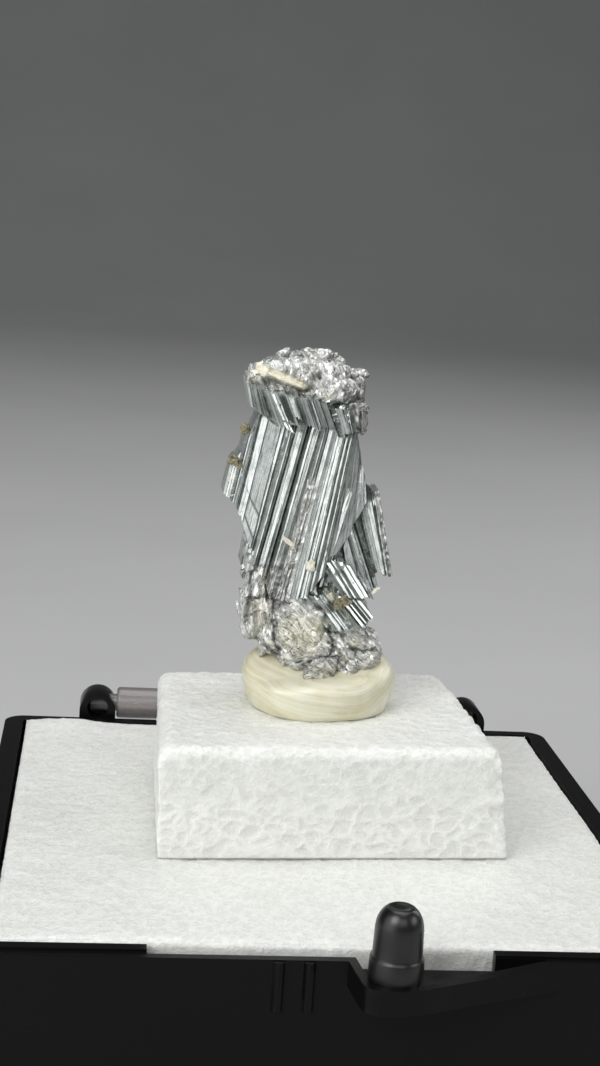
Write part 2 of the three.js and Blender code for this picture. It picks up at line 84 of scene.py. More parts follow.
def slab(name, front, back):
    """A closed solid between two grids of points, front[i][j] and back[i][j], with i across and j upwards."""
    across, up = len(front), len(front[0])
    points = [p for column in front for p in column] + [p for column in back for p in column]

    def f(i, j):
        return i * up + j

    def b(i, j):
        return (across + i) * up + j

    faces = []
    for i in range(across - 1):
        for j in range(up - 1):
            faces.append((f(i, j), f(i + 1, j), f(i + 1, j + 1), f(i, j + 1)))
            faces.append((b(i, j), b(i, j + 1), b(i + 1, j + 1), b(i + 1, j)))
        faces.append((f(i, 0), b(i, 0), b(i + 1, 0), f(i + 1, 0)))
        faces.append((f(i, up - 1), f(i + 1, up - 1), b(i + 1, up - 1), b(i, up - 1)))
    for j in range(up - 1):
        faces.append((f(0, j), f(0, j + 1), b(0, j + 1), b(0, j)))
        faces.append((f(across - 1, j), b(across - 1, j), b(across - 1, j + 1), f(across - 1, j + 1)))
    return new_piece(name, points, faces, STONE_PLACE)


def evaluated_copy(piece):
    """A mesh with the piece's modifiers applied."""
    bpy.context.view_layer.update()
    graph = bpy.context.evaluated_depsgraph_get()
    return bpy.data.meshes.new_from_object(piece.evaluated_get(graph))


def boolean(piece, others, operation):
    """Joins the others to the piece or cuts them out of it, and removes them."""
    group = bpy.data.collections.new("operands")
    bpy.context.scene.collection.children.link(group)
    for other in others:
        bpy.context.scene.collection.objects.unlink(other)
        group.objects.link(other)
    step = piece.modifiers.new(operation, "BOOLEAN")
    step.operation = operation
    step.operand_type = "COLLECTION"
    step.collection = group
    step.solver = "MANIFOLD"
    mesh = evaluated_copy(piece)
    piece.modifiers.clear()
    piece.data = mesh
    for other in others:
        bpy.data.objects.remove(other)
    bpy.data.collections.remove(group)
    return piece


def keep_largest_part(piece):
    """Removes the loose shells that a union leaves inside a solid."""
    bm = bmesh.new()
    bm.from_mesh(piece.data)
    bm.verts.ensure_lookup_table()
    seen = set()
    parts = []
    for start in bm.verts:
        if start in seen:
            continue
        part = [start]
        seen.add(start)
        for vert in part:
            for edge in vert.link_edges:
                other = edge.other_vert(vert)
                if other not in seen:
                    seen.add(other)
                    part.append(other)
        parts.append(part)
    parts.sort(key=len)
    loose = [vert for part in parts[:-1] for vert in part]
    bmesh.ops.delete(bm, geom=loose, context="VERTS")
    bm.to_mesh(piece.data)
    bm.free()
    return piece


def turn_smooth(piece, sharp_degrees=None):
    """Shades a piece smooth, apart from edges sharper than an angle, where one is given."""
    for face in piece.data.polygons:
        face.use_smooth = True
    if sharp_degrees is not None:
        piece.data.set_sharp_from_angle(angle=math.radians(sharp_degrees))


def give_material(piece, material):
    piece.data.materials.clear()
    piece.data.materials.append(material)


def finish_piece(piece, node_names, material):
    """Gives a piece its material, attaches it to the root body and hides the CAD nodes that it stands in for.
    """
    give_material(piece, material)
    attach(piece, "root")
    if node_names:
        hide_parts(*node_names)
    return piece


def soft_noise(p, scale, seed=0.0):
    """Smooth noise from -1 to 1 at a point in millimetres."""
    return noise.noise(Vector((p[0] * scale + seed, p[1] * scale - seed, p[2] * scale + 2 * seed)))


def smoothstep(low, high, value):
    """A smooth rise from 0 at low to 1 at high, or a fall where low is the larger."""
    share = min(1.0, max(0.0, (value - low) / (high - low)))
    return share * share * (3 - 2 * share)


# Materials

class Shader:
    """A node material with one Principled shader, built from short calls."""

    def __init__(self, name):
        self.material = bpy.data.materials.new(name)
        self.material.use_nodes = True
        self.tree = self.material.node_tree
        self.main = self.tree.nodes["Principled BSDF"]
        self.place = self.node("ShaderNodeTexCoord").outputs["Object"]

    def node(self, kind, **settings):
        """A new node. A setting whose name starts with in_ is an input, linked or set."""
        made = self.tree.nodes.new(kind)
        for key, value in settings.items():
            if key.startswith("in_"):
                self.feed(made.inputs[key[3:].replace("_", " ")], value)
            else:
                setattr(made, key, value)
        return made

    def feed(self, socket, value):
        """Links the socket of another node to this one, or sets a constant."""
        if isinstance(value, bpy.types.NodeSocket):
            self.tree.links.new(value, socket)
        else:
            socket.default_value = value

    def set(self, **values):
        """Links or sets inputs of the Principled shader."""
        for key, value in values.items():
            self.feed(self.main.inputs[key.replace("_", " ")], value)

    def noise(self, per_mm, detail=3.0, rough=0.55, distortion=0.0, source=None):
        """Noise with about this many features in a millimetre, as a value from 0 to 1."""
        made = self.node("ShaderNodeTexNoise", in_Scale=per_mm / MM, in_Detail=detail, in_Roughness=rough,
                         in_Distortion=distortion, in_Vector=source or self.place)
        return made.outputs["Fac"]

    def carried_noise(self, name, detail, distortion=0.0):
        """Noise over the places that the mesh carries in an attribute, counted in features."""
        carried = self.node("ShaderNodeAttribute", attribute_name=name)
        return self.noise(MM, detail, 0.6, distortion, carried.outputs["Vector"])

    def cells(self, per_mm, feature="F1", source=None):
        """The distance to the middle of a cell, or to its edge."""
        made = self.node("ShaderNodeTexVoronoi", feature=feature, in_Scale=per_mm / MM,
                         in_Vector=source or self.place)
        return made.outputs["Distance"]

    def ramp(self, value, stops):
        """A colour ramp over (position, colour) stops."""
        made = self.node("ShaderNodeValToRGB", in_Fac=value)
        elements = made.color_ramp.elements
        while len(elements) < len(stops):
            elements.new(0.5)
        for element, (position, colour) in zip(elements, stops):
            element.position = position
            element.color = (*colour, 1)
        return made.outputs["Color"]

    def range(self, value, low, high, to_low, to_high):
        """The value, carried from one range to another and kept inside it."""
        made = self.node("ShaderNodeMapRange", in_Value=value, in_From_Min=low, in_From_Max=high,
                         in_To_Min=to_low, in_To_Max=to_high)
        return made.outputs["Result"]

    def math(self, operation, a, b):
        made = self.node("ShaderNodeMath", operation=operation)
        self.feed(made.inputs[0], a)
        self.feed(made.inputs[1], b)
        return made.outputs["Value"]

    def gap(self, value, middle):
        """How far a value is from a middle."""
        return self.math("ABSOLUTE", self.math("SUBTRACT", value, middle), 0.0)

    def mix(self, share, a, b, blend="MIX"):
        """Mixes two colours, each a socket or a tuple."""
        made = self.node("ShaderNodeMix", data_type="RGBA", blend_type=blend)
        self.feed(made.inputs[0], share)
        for socket, value in ((made.inputs[6], a), (made.inputs[7], b)):
            self.feed(socket, (*value, 1) if isinstance(value, tuple) else value)
        return made.outputs[2]

    def attribute(self, name):
        """The red, green and blue of a colour that the mesh carries."""
        source = self.node("ShaderNodeAttribute", attribute_name=name)
        split = self.node("ShaderNodeSeparateColor", in_Color=source.outputs["Color"])
        return split.outputs["Red"], split.outputs["Green"], split.outputs["Blue"]

    def stretched(self, scale):
        """The place, with each axis multiplied."""
        return self.node("ShaderNodeMapping", in_Scale=scale, in_Vector=self.place).outputs["Vector"]

    def bent_place(self, amount_mm, per_mm):
        """The place, pushed about by noise so that cells and cracks don't run straight."""
        made = self.node("ShaderNodeTexNoise", in_Scale=per_mm / MM, in_Detail=3.0, in_Vector=self.place)
        push = self.node("ShaderNodeVectorMath", operation="MULTIPLY_ADD")
        for socket, value in zip(push.inputs, (made.outputs["Color"], (amount_mm * MM,) * 3, self.place)):
            self.feed(socket, value)
        return push.outputs["Vector"]

    def bump(self, height, depth_mm, strength=1.0, below=None):
        """Relief on the shader, over the relief below where there is one."""
        made = self.node("ShaderNodeBump", in_Strength=strength, in_Distance=depth_mm * MM, in_Height=height)
        if below is not None:
            self.feed(made.inputs["Normal"], below)
        self.set(Normal=made.outputs["Normal"])
        return made.outputs["Normal"]


def metal_material():
    """Steel-grey sulfide: bright striated facets, leafy where it is broken, with cream and brown films, and
    with the painted light and shade that the mesh carries on its faces.
    """
    s = Shader("bournonite_metal")
    # The film attribute carries the cream and brown films. Its blue holds the lightness painted on each face:
    # painted light and shade by how the face turns, and painted shade in the foot's grooves.
    cream, brown, tone_and_shade = s.attribute("film")
    rough = s.node("ShaderNodeAttribute", attribute_name="film").outputs["Alpha"]
    streak = s.carried_noise("striae", 4)
    grain = s.noise(2.2, detail=5, rough=0.6)
    fine = s.noise(12, detail=4, rough=0.65)
    folds = s.noise(1.9, detail=4, rough=0.6, source=s.bent_place(0.5, 1.8))
    # Thin lines in the cracks between the leaves and folds of the broken parts. They are bumped inward below
    # and painted near black, as painted shade.
    leaf_line = s.range(s.gap(streak, 0.5), 0.003, 0.019, 0.9, 0.0)
    fold_line = s.range(s.gap(folds, 0.5), 0.003, 0.012, 0.6, 0.0)
    line = s.math("MULTIPLY", s.math("MAXIMUM", leaf_line, fold_line), rough)
    metal = s.ramp(grain, [
        (0.3, (0.52, 0.56, 0.54)),
        (0.5, (0.68, 0.73, 0.705)),
        (0.7, (0.77, 0.81, 0.785)),
    ])
    # Dark lines along the striations, and leaves from dark to light on the broken parts, darkest where the
    # bumped relief is low. This is partly the metal's own streaks and partly painted shade in the grooves.
    lined = s.mix(s.range(streak, 0.36, 0.47, 0.65, 0.0), metal, (0.2, 0.21, 0.205))
    leafy = s.ramp(streak, [
        (0.33, (0.2, 0.2, 0.185)),
        (0.44, (0.66, 0.66, 0.63)),
        (0.57, (0.94, 0.95, 0.92)),
    ])
    # Painted light and shade: the metal is multiplied by the painted lightness of each face.
    shades = s.ramp(tone_and_shade, [(0.0, (0.3, 0.31, 0.3)), (0.5, (0.8, 0.8, 0.8)), (1.0, (1, 1, 1))])
    toned_and_shaded = s.mix(1.0, s.mix(rough, lined, leafy), shades, blend="MULTIPLY")
    ragged = s.range(s.math("ADD", fine, grain), 0.6, 1.4, -0.35, 0.35)
    cream_mask = s.range(s.math("ADD", cream, ragged), 0.4, 0.62, 0.0, 0.9)
    brown_mask = s.range(s.math("ADD", brown, ragged), 0.42, 0.6, 0.0, 0.85)
    cream_film = s.ramp(streak, [
        (0.34, (0.52, 0.48, 0.38)),
        (0.46, (0.84, 0.81, 0.68)),
        (0.6, (0.96, 0.94, 0.84)),
    ])
    brown_film = s.ramp(fine, [(0.35, (0.14, 0.11, 0.06)), (0.65, (0.5, 0.44, 0.3))])
    filmed = s.mix(brown_mask, s.mix(cream_mask, toned_and_shaded, cream_film), brown_film)
    solid_cream = s.range(cream, 0.85, 1.1, 0.0, 1.0)
    covered = s.mix(solid_cream, filmed, (0.93, 0.9, 0.74))
    line = s.math("SUBTRACT", line, solid_cream)
    # Painted shade: the cracks are painted near black.
    s.set(Base_Color=s.mix(line, covered, (0.035, 0.035, 0.03)))
    film = s.math("MAXIMUM", cream_mask, brown_mask)
    # Faces painted lighter are also made less metallic, so that more of their painted light shows.
    bright = s.range(tone_and_shade, 0.3, 0.7, 0.0, 0.3)
    dull = s.math("MAXIMUM", bright, s.math("MAXIMUM", film, s.math("MULTIPLY", rough, 0.5)))
    s.set(Metallic=s.range(dull, 0.0, 1.0, 1.0, 0.2))
    shine = s.math("ADD", s.range(streak, 0.3, 0.7, 0.3, 0.13), s.math("MULTIPLY", film, 0.25))
    s.set(Roughness=s.math("ADD", shine, s.math("MULTIPLY", rough, 0.2)))
    relief = s.math("ADD", streak, s.math("MULTIPLY", folds, 0.8))
    below = s.bump(s.math("MULTIPLY", relief, rough), 0.09, 0.5)
    below = s.bump(s.math("MULTIPLY", line, -1.0), 0.04, 0.6, below)
    below = s.bump(streak, 0.025, 0.45, below)
    s.bump(fine, 0.01, 0.4, below)
    return s.material


def foam_material(name, bright):
    """White closed-cell foam: light goes into it. Its thin cell walls and rims are painted lighter, as
    painted highlights. The hollows of its cells are painted darker, as painted shade. A few specks are
    painted white, as painted glints.
    """
    s = Shader(name)
    wall = s.attribute("walls")[0]
    small = s.noise(6, detail=4, rough=0.7)
    pores = s.cells(3.4, "DISTANCE_TO_EDGE", s.bent_place(0.15, 3))
    rim = s.range(pores, 0.0, 0.12, 1.0, 0.0)
    # Painted shade in the hollows of the cells, and painted highlights on their walls and rims.
    shaded_hollow = s.ramp(small, [(0.3, (0.76, 0.77, 0.73)), (0.7, (0.83, 0.84, 0.8))])
    lit_wall = s.range(wall, 0.35, 1.0, 0.0, 0.9)
    colour = s.mix(s.math("MAXIMUM", lit_wall, s.math("MULTIPLY", rim, 0.45)), shaded_hollow, (0.895, 0.9, 0.865))
    # Painted glints: a few specks painted nearly white.
    glint = s.range(s.noise(9, detail=2, rough=0.8), 0.66, 0.72, 0.0, 0.8)
    white = s.mix(glint, colour, (0.97, 0.97, 0.95))
    # A brightness below 1 makes a darker copy of the foam, as painted shade.
    s.set(Base_Color=s.mix(1.0, white, (bright, bright, bright), blend="MULTIPLY"))
    s.set(Subsurface_Weight=0.55, Subsurface_Scale=0.5 * MM, Specular_IOR_Level=0.4)
    s.set(Subsurface_Radius=(1, 1, 1))
    s.set(Roughness=s.range(small, 0.35, 0.65, 0.5, 0.25))
    below = s.bump(rim, 0.035, 0.5)
    s.bump(small, 0.06, 0.45, below)
    return s.material


def putty_material():
    """Cream mineral putty with kneading streaks, a low sheen and a few dark specks."""
    s = Shader("mineral_putty")
    streak = s.carried_noise("flow", 5, 0.9)
    swirl = s.noise(0.35, detail=3, distortion=1.5)
    base = s.ramp(swirl, [
        (0.35, (0.69, 0.645, 0.45)),
        (0.5, (0.74, 0.71, 0.53)),
        (0.65, (0.78, 0.765, 0.61)),
    ])
    pale = s.mix(s.range(streak, 0.5, 0.7, 0.0, 0.7), base, (0.86, 0.85, 0.74))
    colour = s.mix(s.range(streak, 0.44, 0.32, 0.0, 0.35), pale, (0.55, 0.52, 0.39))
    thread = s.range(s.gap(streak, 0.4), 0.0, 0.008, 0.6, 0.0)
    colour = s.mix(thread, colour, (0.3, 0.28, 0.21))
    specks = s.range(s.cells(0.9), 0.0, 0.1, 1.0, 0.0)
    rare = s.range(s.noise(0.6, detail=0), 0.58, 0.62, 0.0, 0.8)
    colour = s.mix(s.math("MULTIPLY", specks, rare), colour, (0.14, 0.13, 0.1))
    s.set(Base_Color=colour)
    s.set(Subsurface_Weight=0.2, Subsurface_Scale=0.5 * MM, Coat_Weight=0.25, Coat_Roughness=0.22)
    s.set(Subsurface_Radius=(1, 0.85, 0.6))
    s.set(Roughness=s.range(streak, 0.3, 0.7, 0.5, 0.34))
    below = s.bump(streak, 0.04, 0.5)
    s.bump(s.noise(7, detail=3), 0.02, 0.25, below)
    return s.material


def box_material(name, specular, roughness):
    """Glossy black moulded plastic with faint smears and dust."""
    s = Shader(name)
    smear = s.noise(0.25, detail=4, rough=0.6, distortion=0.8)
    dust = s.noise(6, detail=3, rough=0.8)
    colour = s.mix(s.range(dust, 0.68, 0.8, 0.0, 0.3), (0.004, 0.004, 0.0045), (0.12, 0.11, 0.11))
    s.set(Base_Color=colour)
    s.set(Roughness=s.range(smear, 0.35, 0.7, roughness, roughness + 0.18))
    s.set(Specular_IOR_Level=specular)
    s.bump(smear, 0.03, 0.15)
    return s.material


def clear_material():
    """Clear, faintly smoky plastic."""
    s = Shader("clear_plastic")
    scratch = s.noise(1.5, detail=4, source=s.stretched((0.15, 2, 2)))
    s.set(Transmission_Weight=0.7, IOR=1.55, Base_Color=(0.42, 0.39, 0.38, 1))
    s.set(Roughness=s.range(scratch, 0.35, 0.7, 0.1, 0.28))
    s.bump(scratch, 0.02, 0.2)
    return s.material


def grain_material(name, dark, light):
    """A dull mineral grain, mottled between two colours."""
    s = Shader(name)
    spots = s.noise(6, detail=4, rough=0.65)
    s.set(Base_Color=s.ramp(spots, [(0.32, dark), (0.66, light)]))
    s.set(Roughness=s.range(spots, 0.3, 0.7, 0.6, 0.4))
    s.set(Subsurface_Weight=0.15, Subsurface_Scale=0.2 * MM)
    s.set(Subsurface_Radius=(1, 0.9, 0.75))
    s.bump(spots, 0.04, 0.5)
    return s.material


def floor_material():
    """A dull light grey, with faint wide clouds."""
    s = Shader("pale_floor")
    colour = s.ramp(s.noise(0.02), [(0.3, (0.5, 0.5, 0.5)), (0.7, (0.53, 0.53, 0.53))])
    s.set(Base_Color=colour)
    s.set(Roughness=0.75, Specular_IOR_Level=0.2)
    return s.material


# Crystals

# A bundle is a row of striated bands in one slab. Each band is
# (right edge, front face, kind, foot, top, lean in degrees), and starts where the one before it ends.
# The edges are at the bundle's level. A pair as foot, top or lean is its value at the left and right edge.
# In a bundle that follows, a band's foot and top run on to the next band's.
# Kinds: plain is one facet to the front, and flat is one turned left. Light and left turn it left, shade and
# right turn it right, and these four have thin grooves where they are wide enough. Fine is many ridges,
# bright and dark are ridges that mostly turn left or right, and groove is a deep narrow cut.
BLADE = {
    "lean_back": 1.5,
    "level": 17.5,
    "back": 1.7,
    "follow": True,
    "left": -4.86,
    "bands": [
        (-4.5, -0.42, "light", 16.35, (17.9, 18.4), 11),
        (-4.3, -0.5, "fine", 16.1, 19.4, 11),
        (-4.14, -0.5, "bright", 16.0, 19.5, 11),
        (-3.97, -0.62, "dark", 15.85, 20.4, 11),
        (-3.8, -0.72, "bright", 15.6, 20.5, 10.7),
        (-3.64, -0.84, "left", 15.35, 20.5, 10.6),
        (-2.93, -0.84, "flat", 15.1, 20.5, 10.8),
        (-2.77, -0.92, "left", 13.75, 20.5, 11.3),
        (-2.6, -0.9, "dark", 13.6, 20.5, 11.6),
        (-2.28, -0.92, "fine", 13.3, 20.5, 12),
        (-2.18, -0.9, "right", 12.8, 20.5, 12),
        (-1.99, -0.92, "light", 12.7, 20.5, 12),
        (-1.92, -0.98, "left", 12.5, 20.5, 12),
        (-1.72, -1.04, "bright", 12.4, 20.5, 12),
        (-1.58, -0.98, "groove", 12.2, 20.5, 12),
        (-1.46, -0.94, "right", 12.0, 20.5, 12),
        (-1.14, -1.08, "left", 11.7, 20.5, (11.8, 12.8)),
        (-1.02, -1.04, "right", 11.4, 20.5, (12.8, 11.6)),
        (-0.62, -0.96, "fine", 11.3, 20.5, 11.4),
        (-0.55, -0.96, "right", 11.2, 20.5, 11),
        (-0.38, -1.02, "left", 11.15, 20.5, 10.8),
        (0.0, -1.02, "light", 11.15, 20.5, 10.4),
        (0.16, -1.08, "left", 11.3, 20.5, 9.8),
        (0.5, -1.08, "bright", 11.4, 20.5, 9.4),
        (0.62, -1.06, "right", 11.8, 20.5, 8.8),
        (0.8, -1.06, "left", 12.2, 20.5, 8.6),
        (0.92, -1.0, "dark", 12.7, 20.5, 8),
        (1.44, -0.9, "shade", (13.6, 14.8), 20.5, (5, 2)),
        (1.86, -0.66, "light", (14.9, 16.3), (18.9, 17.6), (4, -7)),
    ],
}
# The bright edge and the dark side below it, where the blade's right side breaks away.
BREAK = {
    "level": 14.5,
    "back": 1.2,
    "left": 0.47,
    "bands": [
        (0.58, -1.02, "left", 12.0, (16.4, 16.9), 12.3),
        (0.66, -0.98, "left", 12.1, 16.8, (12.3, 14)),
        (1.14, -0.84, "right", (12.3, 13.7), (15.2, 15.0), (14, 20)),
    ],
}
CAP = {
    "level": 20.5,
    "back": 1.6,
    "left": -3.97,
    "bands": [
        (-3.8, -1.02, "light", 20.75, 22.0, -13),
        (-3.5, -1.14, "shade", (20.6, 20.4), 22.2, (-14, -17)),
        (-2.9, -1.4, "shade", (20.45, 19.85), 22.3, (-17, -22)),
        (-2.8, -1.52, "left", 19.85, 21.8, -23),
        (-2.62, -1.52, "fine", 19.9, 21.7, -23),
        (-2.3, -1.56, "right", (19.9, 19.6), 21.6, -26),
        (-2.0, -1.5, "shade", 20.05, 21.6, -24),
        (-1.9, -1.52, "left", 20.0, 21.5, -24),
        (-1.38, -1.4, "right", (20.4, 20.1), 21.45, -23),
        (-1.16, -1.44, "dark", 20.0, 21.4, -22),
        (-0.87, -1.58, "left", 19.9, 21.4, -22),
        (-0.76, -1.5, "right", 20.0, 21.3, -22),
        (-0.5, -1.52, "plain", 20.0, 21.3, -22),
        (-0.42, -1.46, "right", 19.9, 21.2, -22),
        (-0.14, -1.5, "plain", 19.9, 21.2, -22),
        (0.2, -1.5, "groove", 19.5, 20.95, -24),
        (0.5, -1.52, "light", 19.75, 20.95, -20),
        (0.78, -1.48, "fine", 19.8, 20.95, -16),
        (1.04, -1.4, "light", 19.85, 20.9, -12),
        (1.2, -1.26, "dark", 19.85, 20.9, -9),
        (1.56, -1.14, "fine", 19.9, 20.9, -6),
    ],
}
WING = {
    "lean_back": 8,
    "level": 15,
    "back": 1.5,
    "follow": True,
    "left": 2.0,
    "bands": [
        (2.12, -0.44, "right", 13.1, 16.8, -17),
        (2.5, -0.56, "light", 12.95, (17.3, 17.15), (-16.5, -14)),
        (2.6, -0.62, "left", 12.75, 17.1, -13.5),
        (3.06, -0.5, "dark", 12.65, 16.8, -12.5),
    ],
}
INSET = {
    "lean_back": 4,
    "level": 13.5,
    "back": 1.8,
    "left": 1.14,
    "bands": [
        (1.5, -0.62, "light", (13.0, 12.0), (13.9, 14.7), (-12, -18)),
        (1.6, -0.4, "right", 11.9, 14.9, -19),
        (1.7, -0.5, "left", 11.7, 15.1, -20),
        (1.8, -0.5, "plain", 11.7, 15.1, -20),
        (1.98, -0.38, "right", 11.6, 15.3, -21),
        (2.08, -0.36, "left", 11.7, 15.5, -21),
        (2.2, -0.3, "groove", 11.8, 15.6, -20.5),
        (2.45, -0.2, "right", 11.9, 15.7, -20),
        (2.66, -0.1, "dark", 12.6, 15.5, -18),
    ],
}
FAN = {
    "level": 12.4,
    "back": 1.9,
    "left": 0.46,
    "bands": [
        (0.7, -0.98, "right", 11.5, 12.9, -36),
        (0.78, -0.96, "left", 11.5, 13.05, -36),
        (1.0, -1.04, "right", 11.5, 13.25, -36),
        (1.08, -1.0, "left", 11.5, 13.3, -36),
        (1.32, -1.06, "right", 11.5, 13.35, -35),
        (1.4, -1.0, "left", 11.5, 13.3, -35),
        (1.6, -1.0, "right", 11.5, 13.25, -35),
        (1.68, -0.94, "left", 11.5, 13.15, -34),
        (1.84, -0.9, "right", 11.5, 13.05, -34),
        (2.14, -0.8, "dark", 11.4, 12.7, -33),
    ],
}
RUNGS = {
    "level": 10.6,
    "back": 1.9,
    "left": -0.12,
    "bands": [
        (0.1, -1.24, "right", 9.95, 11.5, -38),
        (0.18, -1.24, "left", 9.85, 11.5, -38),
        (0.36, -1.3, "right", 9.8, 11.5, -38),
        (0.43, -1.28, "left", 9.75, 11.5, -38),
        (0.66, -1.34, "right", 9.65, 11.55, -39),
        (0.72, -1.3, "left", 9.6, 11.55, -39),
        (0.94, -1.28, "right", 9.6, 11.6, -39),
        (1.4, -1.06, "fine", 9.75, 11.7, -41),
        (1.56, -1.12, "right", 9.9, 11.7, -42),
        (1.7, -1.12, "groove", 9.95, 11.65, -42),
        (1.86, -1.2, "right", 10.0, 11.6, -42),
        (2.0, -1.14, "groove", 10.1, 11.55, -42),
        (2.18, -1.16, "right", 10.2, 11.5, -42),
        (2.32, -1.06, "groove", 10.3, 11.45, -42),
        (2.46, -1.06, "right", 10.4, 11.4, -42),
        (2.52, -1.0, "left", 10.45, 11.4, -42),
        (2.68, -1.0, "right", 10.5, 11.35, -42),
    ],
}
REAR = {
    "level": 16,
    "back": 2.5,
    "left": -3.4,
    "bands": [
        (-2.72, 0.4, "fine", 12.6, 19.6, 9),
        (-2.12, 0.4, "bright", 11.2, 21.0, 8),
        (-1.4, 0.4, "fine", 10.4, 21.6, 7),
        (-0.82, 0.4, "plain", 10.2, 21.1, 6),
        (-0.12, 0.4, "fine", 10.6, 21.4, 5),
        (0.5, 0.4, "dark", 11.2, 20.0, 4),
        (1.1, 0.4, "fine", 12.4, 18.3, 2),
    ],
}
BUNDLES = [BLADE, BREAK, CAP, WING, INSET, FAN, RUNGS, REAR]

# How far facets turn from facing the front, as the slope of their depth.
TURN_LEFT = -math.tan(math.radians(34))
TURN_RIGHT = math.tan(math.radians(38))
TURN_FRONT = -math.tan(math.radians(4))
TURN_SHADE = math.tan(math.radians(17))
TURN_LIGHT = -math.tan(math.radians(15))
# The slope of each kind that is a single facet, and the kinds that break seldom, because they are wide.
SLOPES = {
    "plain": TURN_FRONT,
    "shade": TURN_SHADE,
    "light": TURN_LIGHT,
    "flat": TURN_LIGHT,
    "left": TURN_LEFT * 0.8,
    "right": TURN_RIGHT * 0.8,
}
WIDE_KINDS = ("plain", "shade", "light", "flat")
# The share of left, front and right turned ridges in each mixed kind.
MIXES = {
    "fine": (0.4, 0.3, 0.3),
    "bright": (0.62, 0.24, 0.14),
    "dark": (0.14, 0.2, 0.66),
}
# Widths and depths of single ridges, of the thin grooves, and of the deep cut of a groove band.
RIDGE_WIDTHS = (0.03, 0.09)
RIDGE_REACH = 0.06
JOG = 0.05
THIN_GAPS = (0.05, 0.13)
THIN_WIDTH = 0.03
THIN_DEPTHS = (-0.01, 0.045)
LAST_THIN = 0.16
CUT_DEPTHS = (0.2, 0.24)
STEP = 0.004
ROW_HEIGHT = 0.16


def single_facet(left, right, level, kind, rng):
    """Points across one turned facet as (x, y), with thin grooves in it unless its kind is smooth."""
    width = right - left
    rise = SLOPES[kind] * width
    points = [(left + STEP, level - rise / 2)]
    while kind not in ("plain", "flat") and points[-1][0] < right - LAST_THIN:
        x = points[-1][0] + rng.uniform(*THIN_GAPS)
        y = level + rise * ((x - left) / width - 0.5)
        points += [(x, y), (x + THIN_WIDTH, y + rng.uniform(*THIN_DEPTHS))]
    return points + [(right, level + rise / 2)]


def facet_chain(left, right, level, kind, rng):
    """Points across one band as (x, y), which make its ridges and steps."""
    if kind in SLOPES:
        return single_facet(left, right, level, kind, rng)
    if kind == "groove":
        inner = left + (right - left) * 0.35
        near, deep = CUT_DEPTHS
        return [(left + STEP, level), (inner, level + near), (right - 0.02, level + deep), (right, level)]
    x, y = left + STEP, level
    points = [(x, y)]
    while x < right - RIDGE_WIDTHS[0]:
        step = min(rng.uniform(*RIDGE_WIDTHS), right - x)
        if y < level - RIDGE_REACH:
            slope = TURN_RIGHT
        elif y > level + RIDGE_REACH:
            slope = TURN_LEFT
        else:
            slope = rng.choices((TURN_LEFT, TURN_FRONT, TURN_RIGHT), MIXES[kind])[0]
        x += step
        y += slope * step
        points.append((x, y))
        if rng.random() < 0.25 and x < right - JOG:
            x += STEP
            y += rng.choice((-JOG, JOG))
            points.append((x, y))
    return points


def broken_patch(x, z):
    """How rough the front is at a place on the group: broken strips on the blade, pits on the wing's edge."""
    middle = -1.15 + 0.2 * (z - 15)
    strip = math.exp(-(((x - middle) / 0.3) ** 2)) * smoothstep(11.5, 12.5, z) * smoothstep(17.6, 16.6, z)
    wing = smoothstep(2.75, 2.95, x + 0.22 * (z - 15)) * smoothstep(12.4, 12.8, z) * smoothstep(17.5, 17, z)
    foot = smoothstep(13.6, 12.4, z) * smoothstep(-1.2, -2.2, x)
    return 0.13 * max(strip, 0.8 * wing, 0.8 * foot)


def both_ends(value, following=None):
    """A value at a band's left and right edge. A single one runs on to the following value, if any."""
    if isinstance(value, tuple):
        return value
    return (value, value if following is None else following)


def band_ends(band, after):
    """A band's foot, top and lean at its left and right edge. Its top only runs on to a step."""
    foot, top, lean = band[3:]
    if after is None:
        return both_ends(foot), both_ends(top), both_ends(lean)
    after_foot, after_top = both_ends(after[3])[0], both_ends(after[4])[0]
    if abs(after_top - both_ends(top)[1]) <= 0.3:
        after_top = None
    return both_ends(foot, after_foot), both_ends(top, after_top), both_ends(lean)


def bundle_lines(bundle, rng):
    """The upright lines across a bundle: (x, depth, foot, top, slide, the band's front face, its breaks)."""
    left = bundle["left"]
    lines = []
    for band, after in zip(bundle["bands"], [*bundle["bands"][1:], None]):
        right, level, kind = band[:3]
        many = 1 if kind in WIDE_KINDS or kind == "groove" else 6
        breaks = [(rng.uniform(11, 21), rng.uniform(-0.04, 0.04)) for _ in range(many)]
        feet, tops, leans = band_ends(band, after if bundle.get("follow") else None)
        ragged = 0.02 if kind in WIDE_KINDS else 0.07
        for x, y in facet_chain(left, right, level, kind, rng):
            share = (x - left) / (right - left)
            low = feet[0] + (feet[1] - feet[0]) * share + rng.uniform(-ragged, ragged)
            high = tops[0] + (tops[1] - tops[0]) * share + rng.uniform(-ragged, ragged)
            slide = math.tan(math.radians(leans[0] + (leans[1] - leans[0]) * share))
            lines.append((x, y, low, high, slide, level, breaks))
        left = right
    return lines


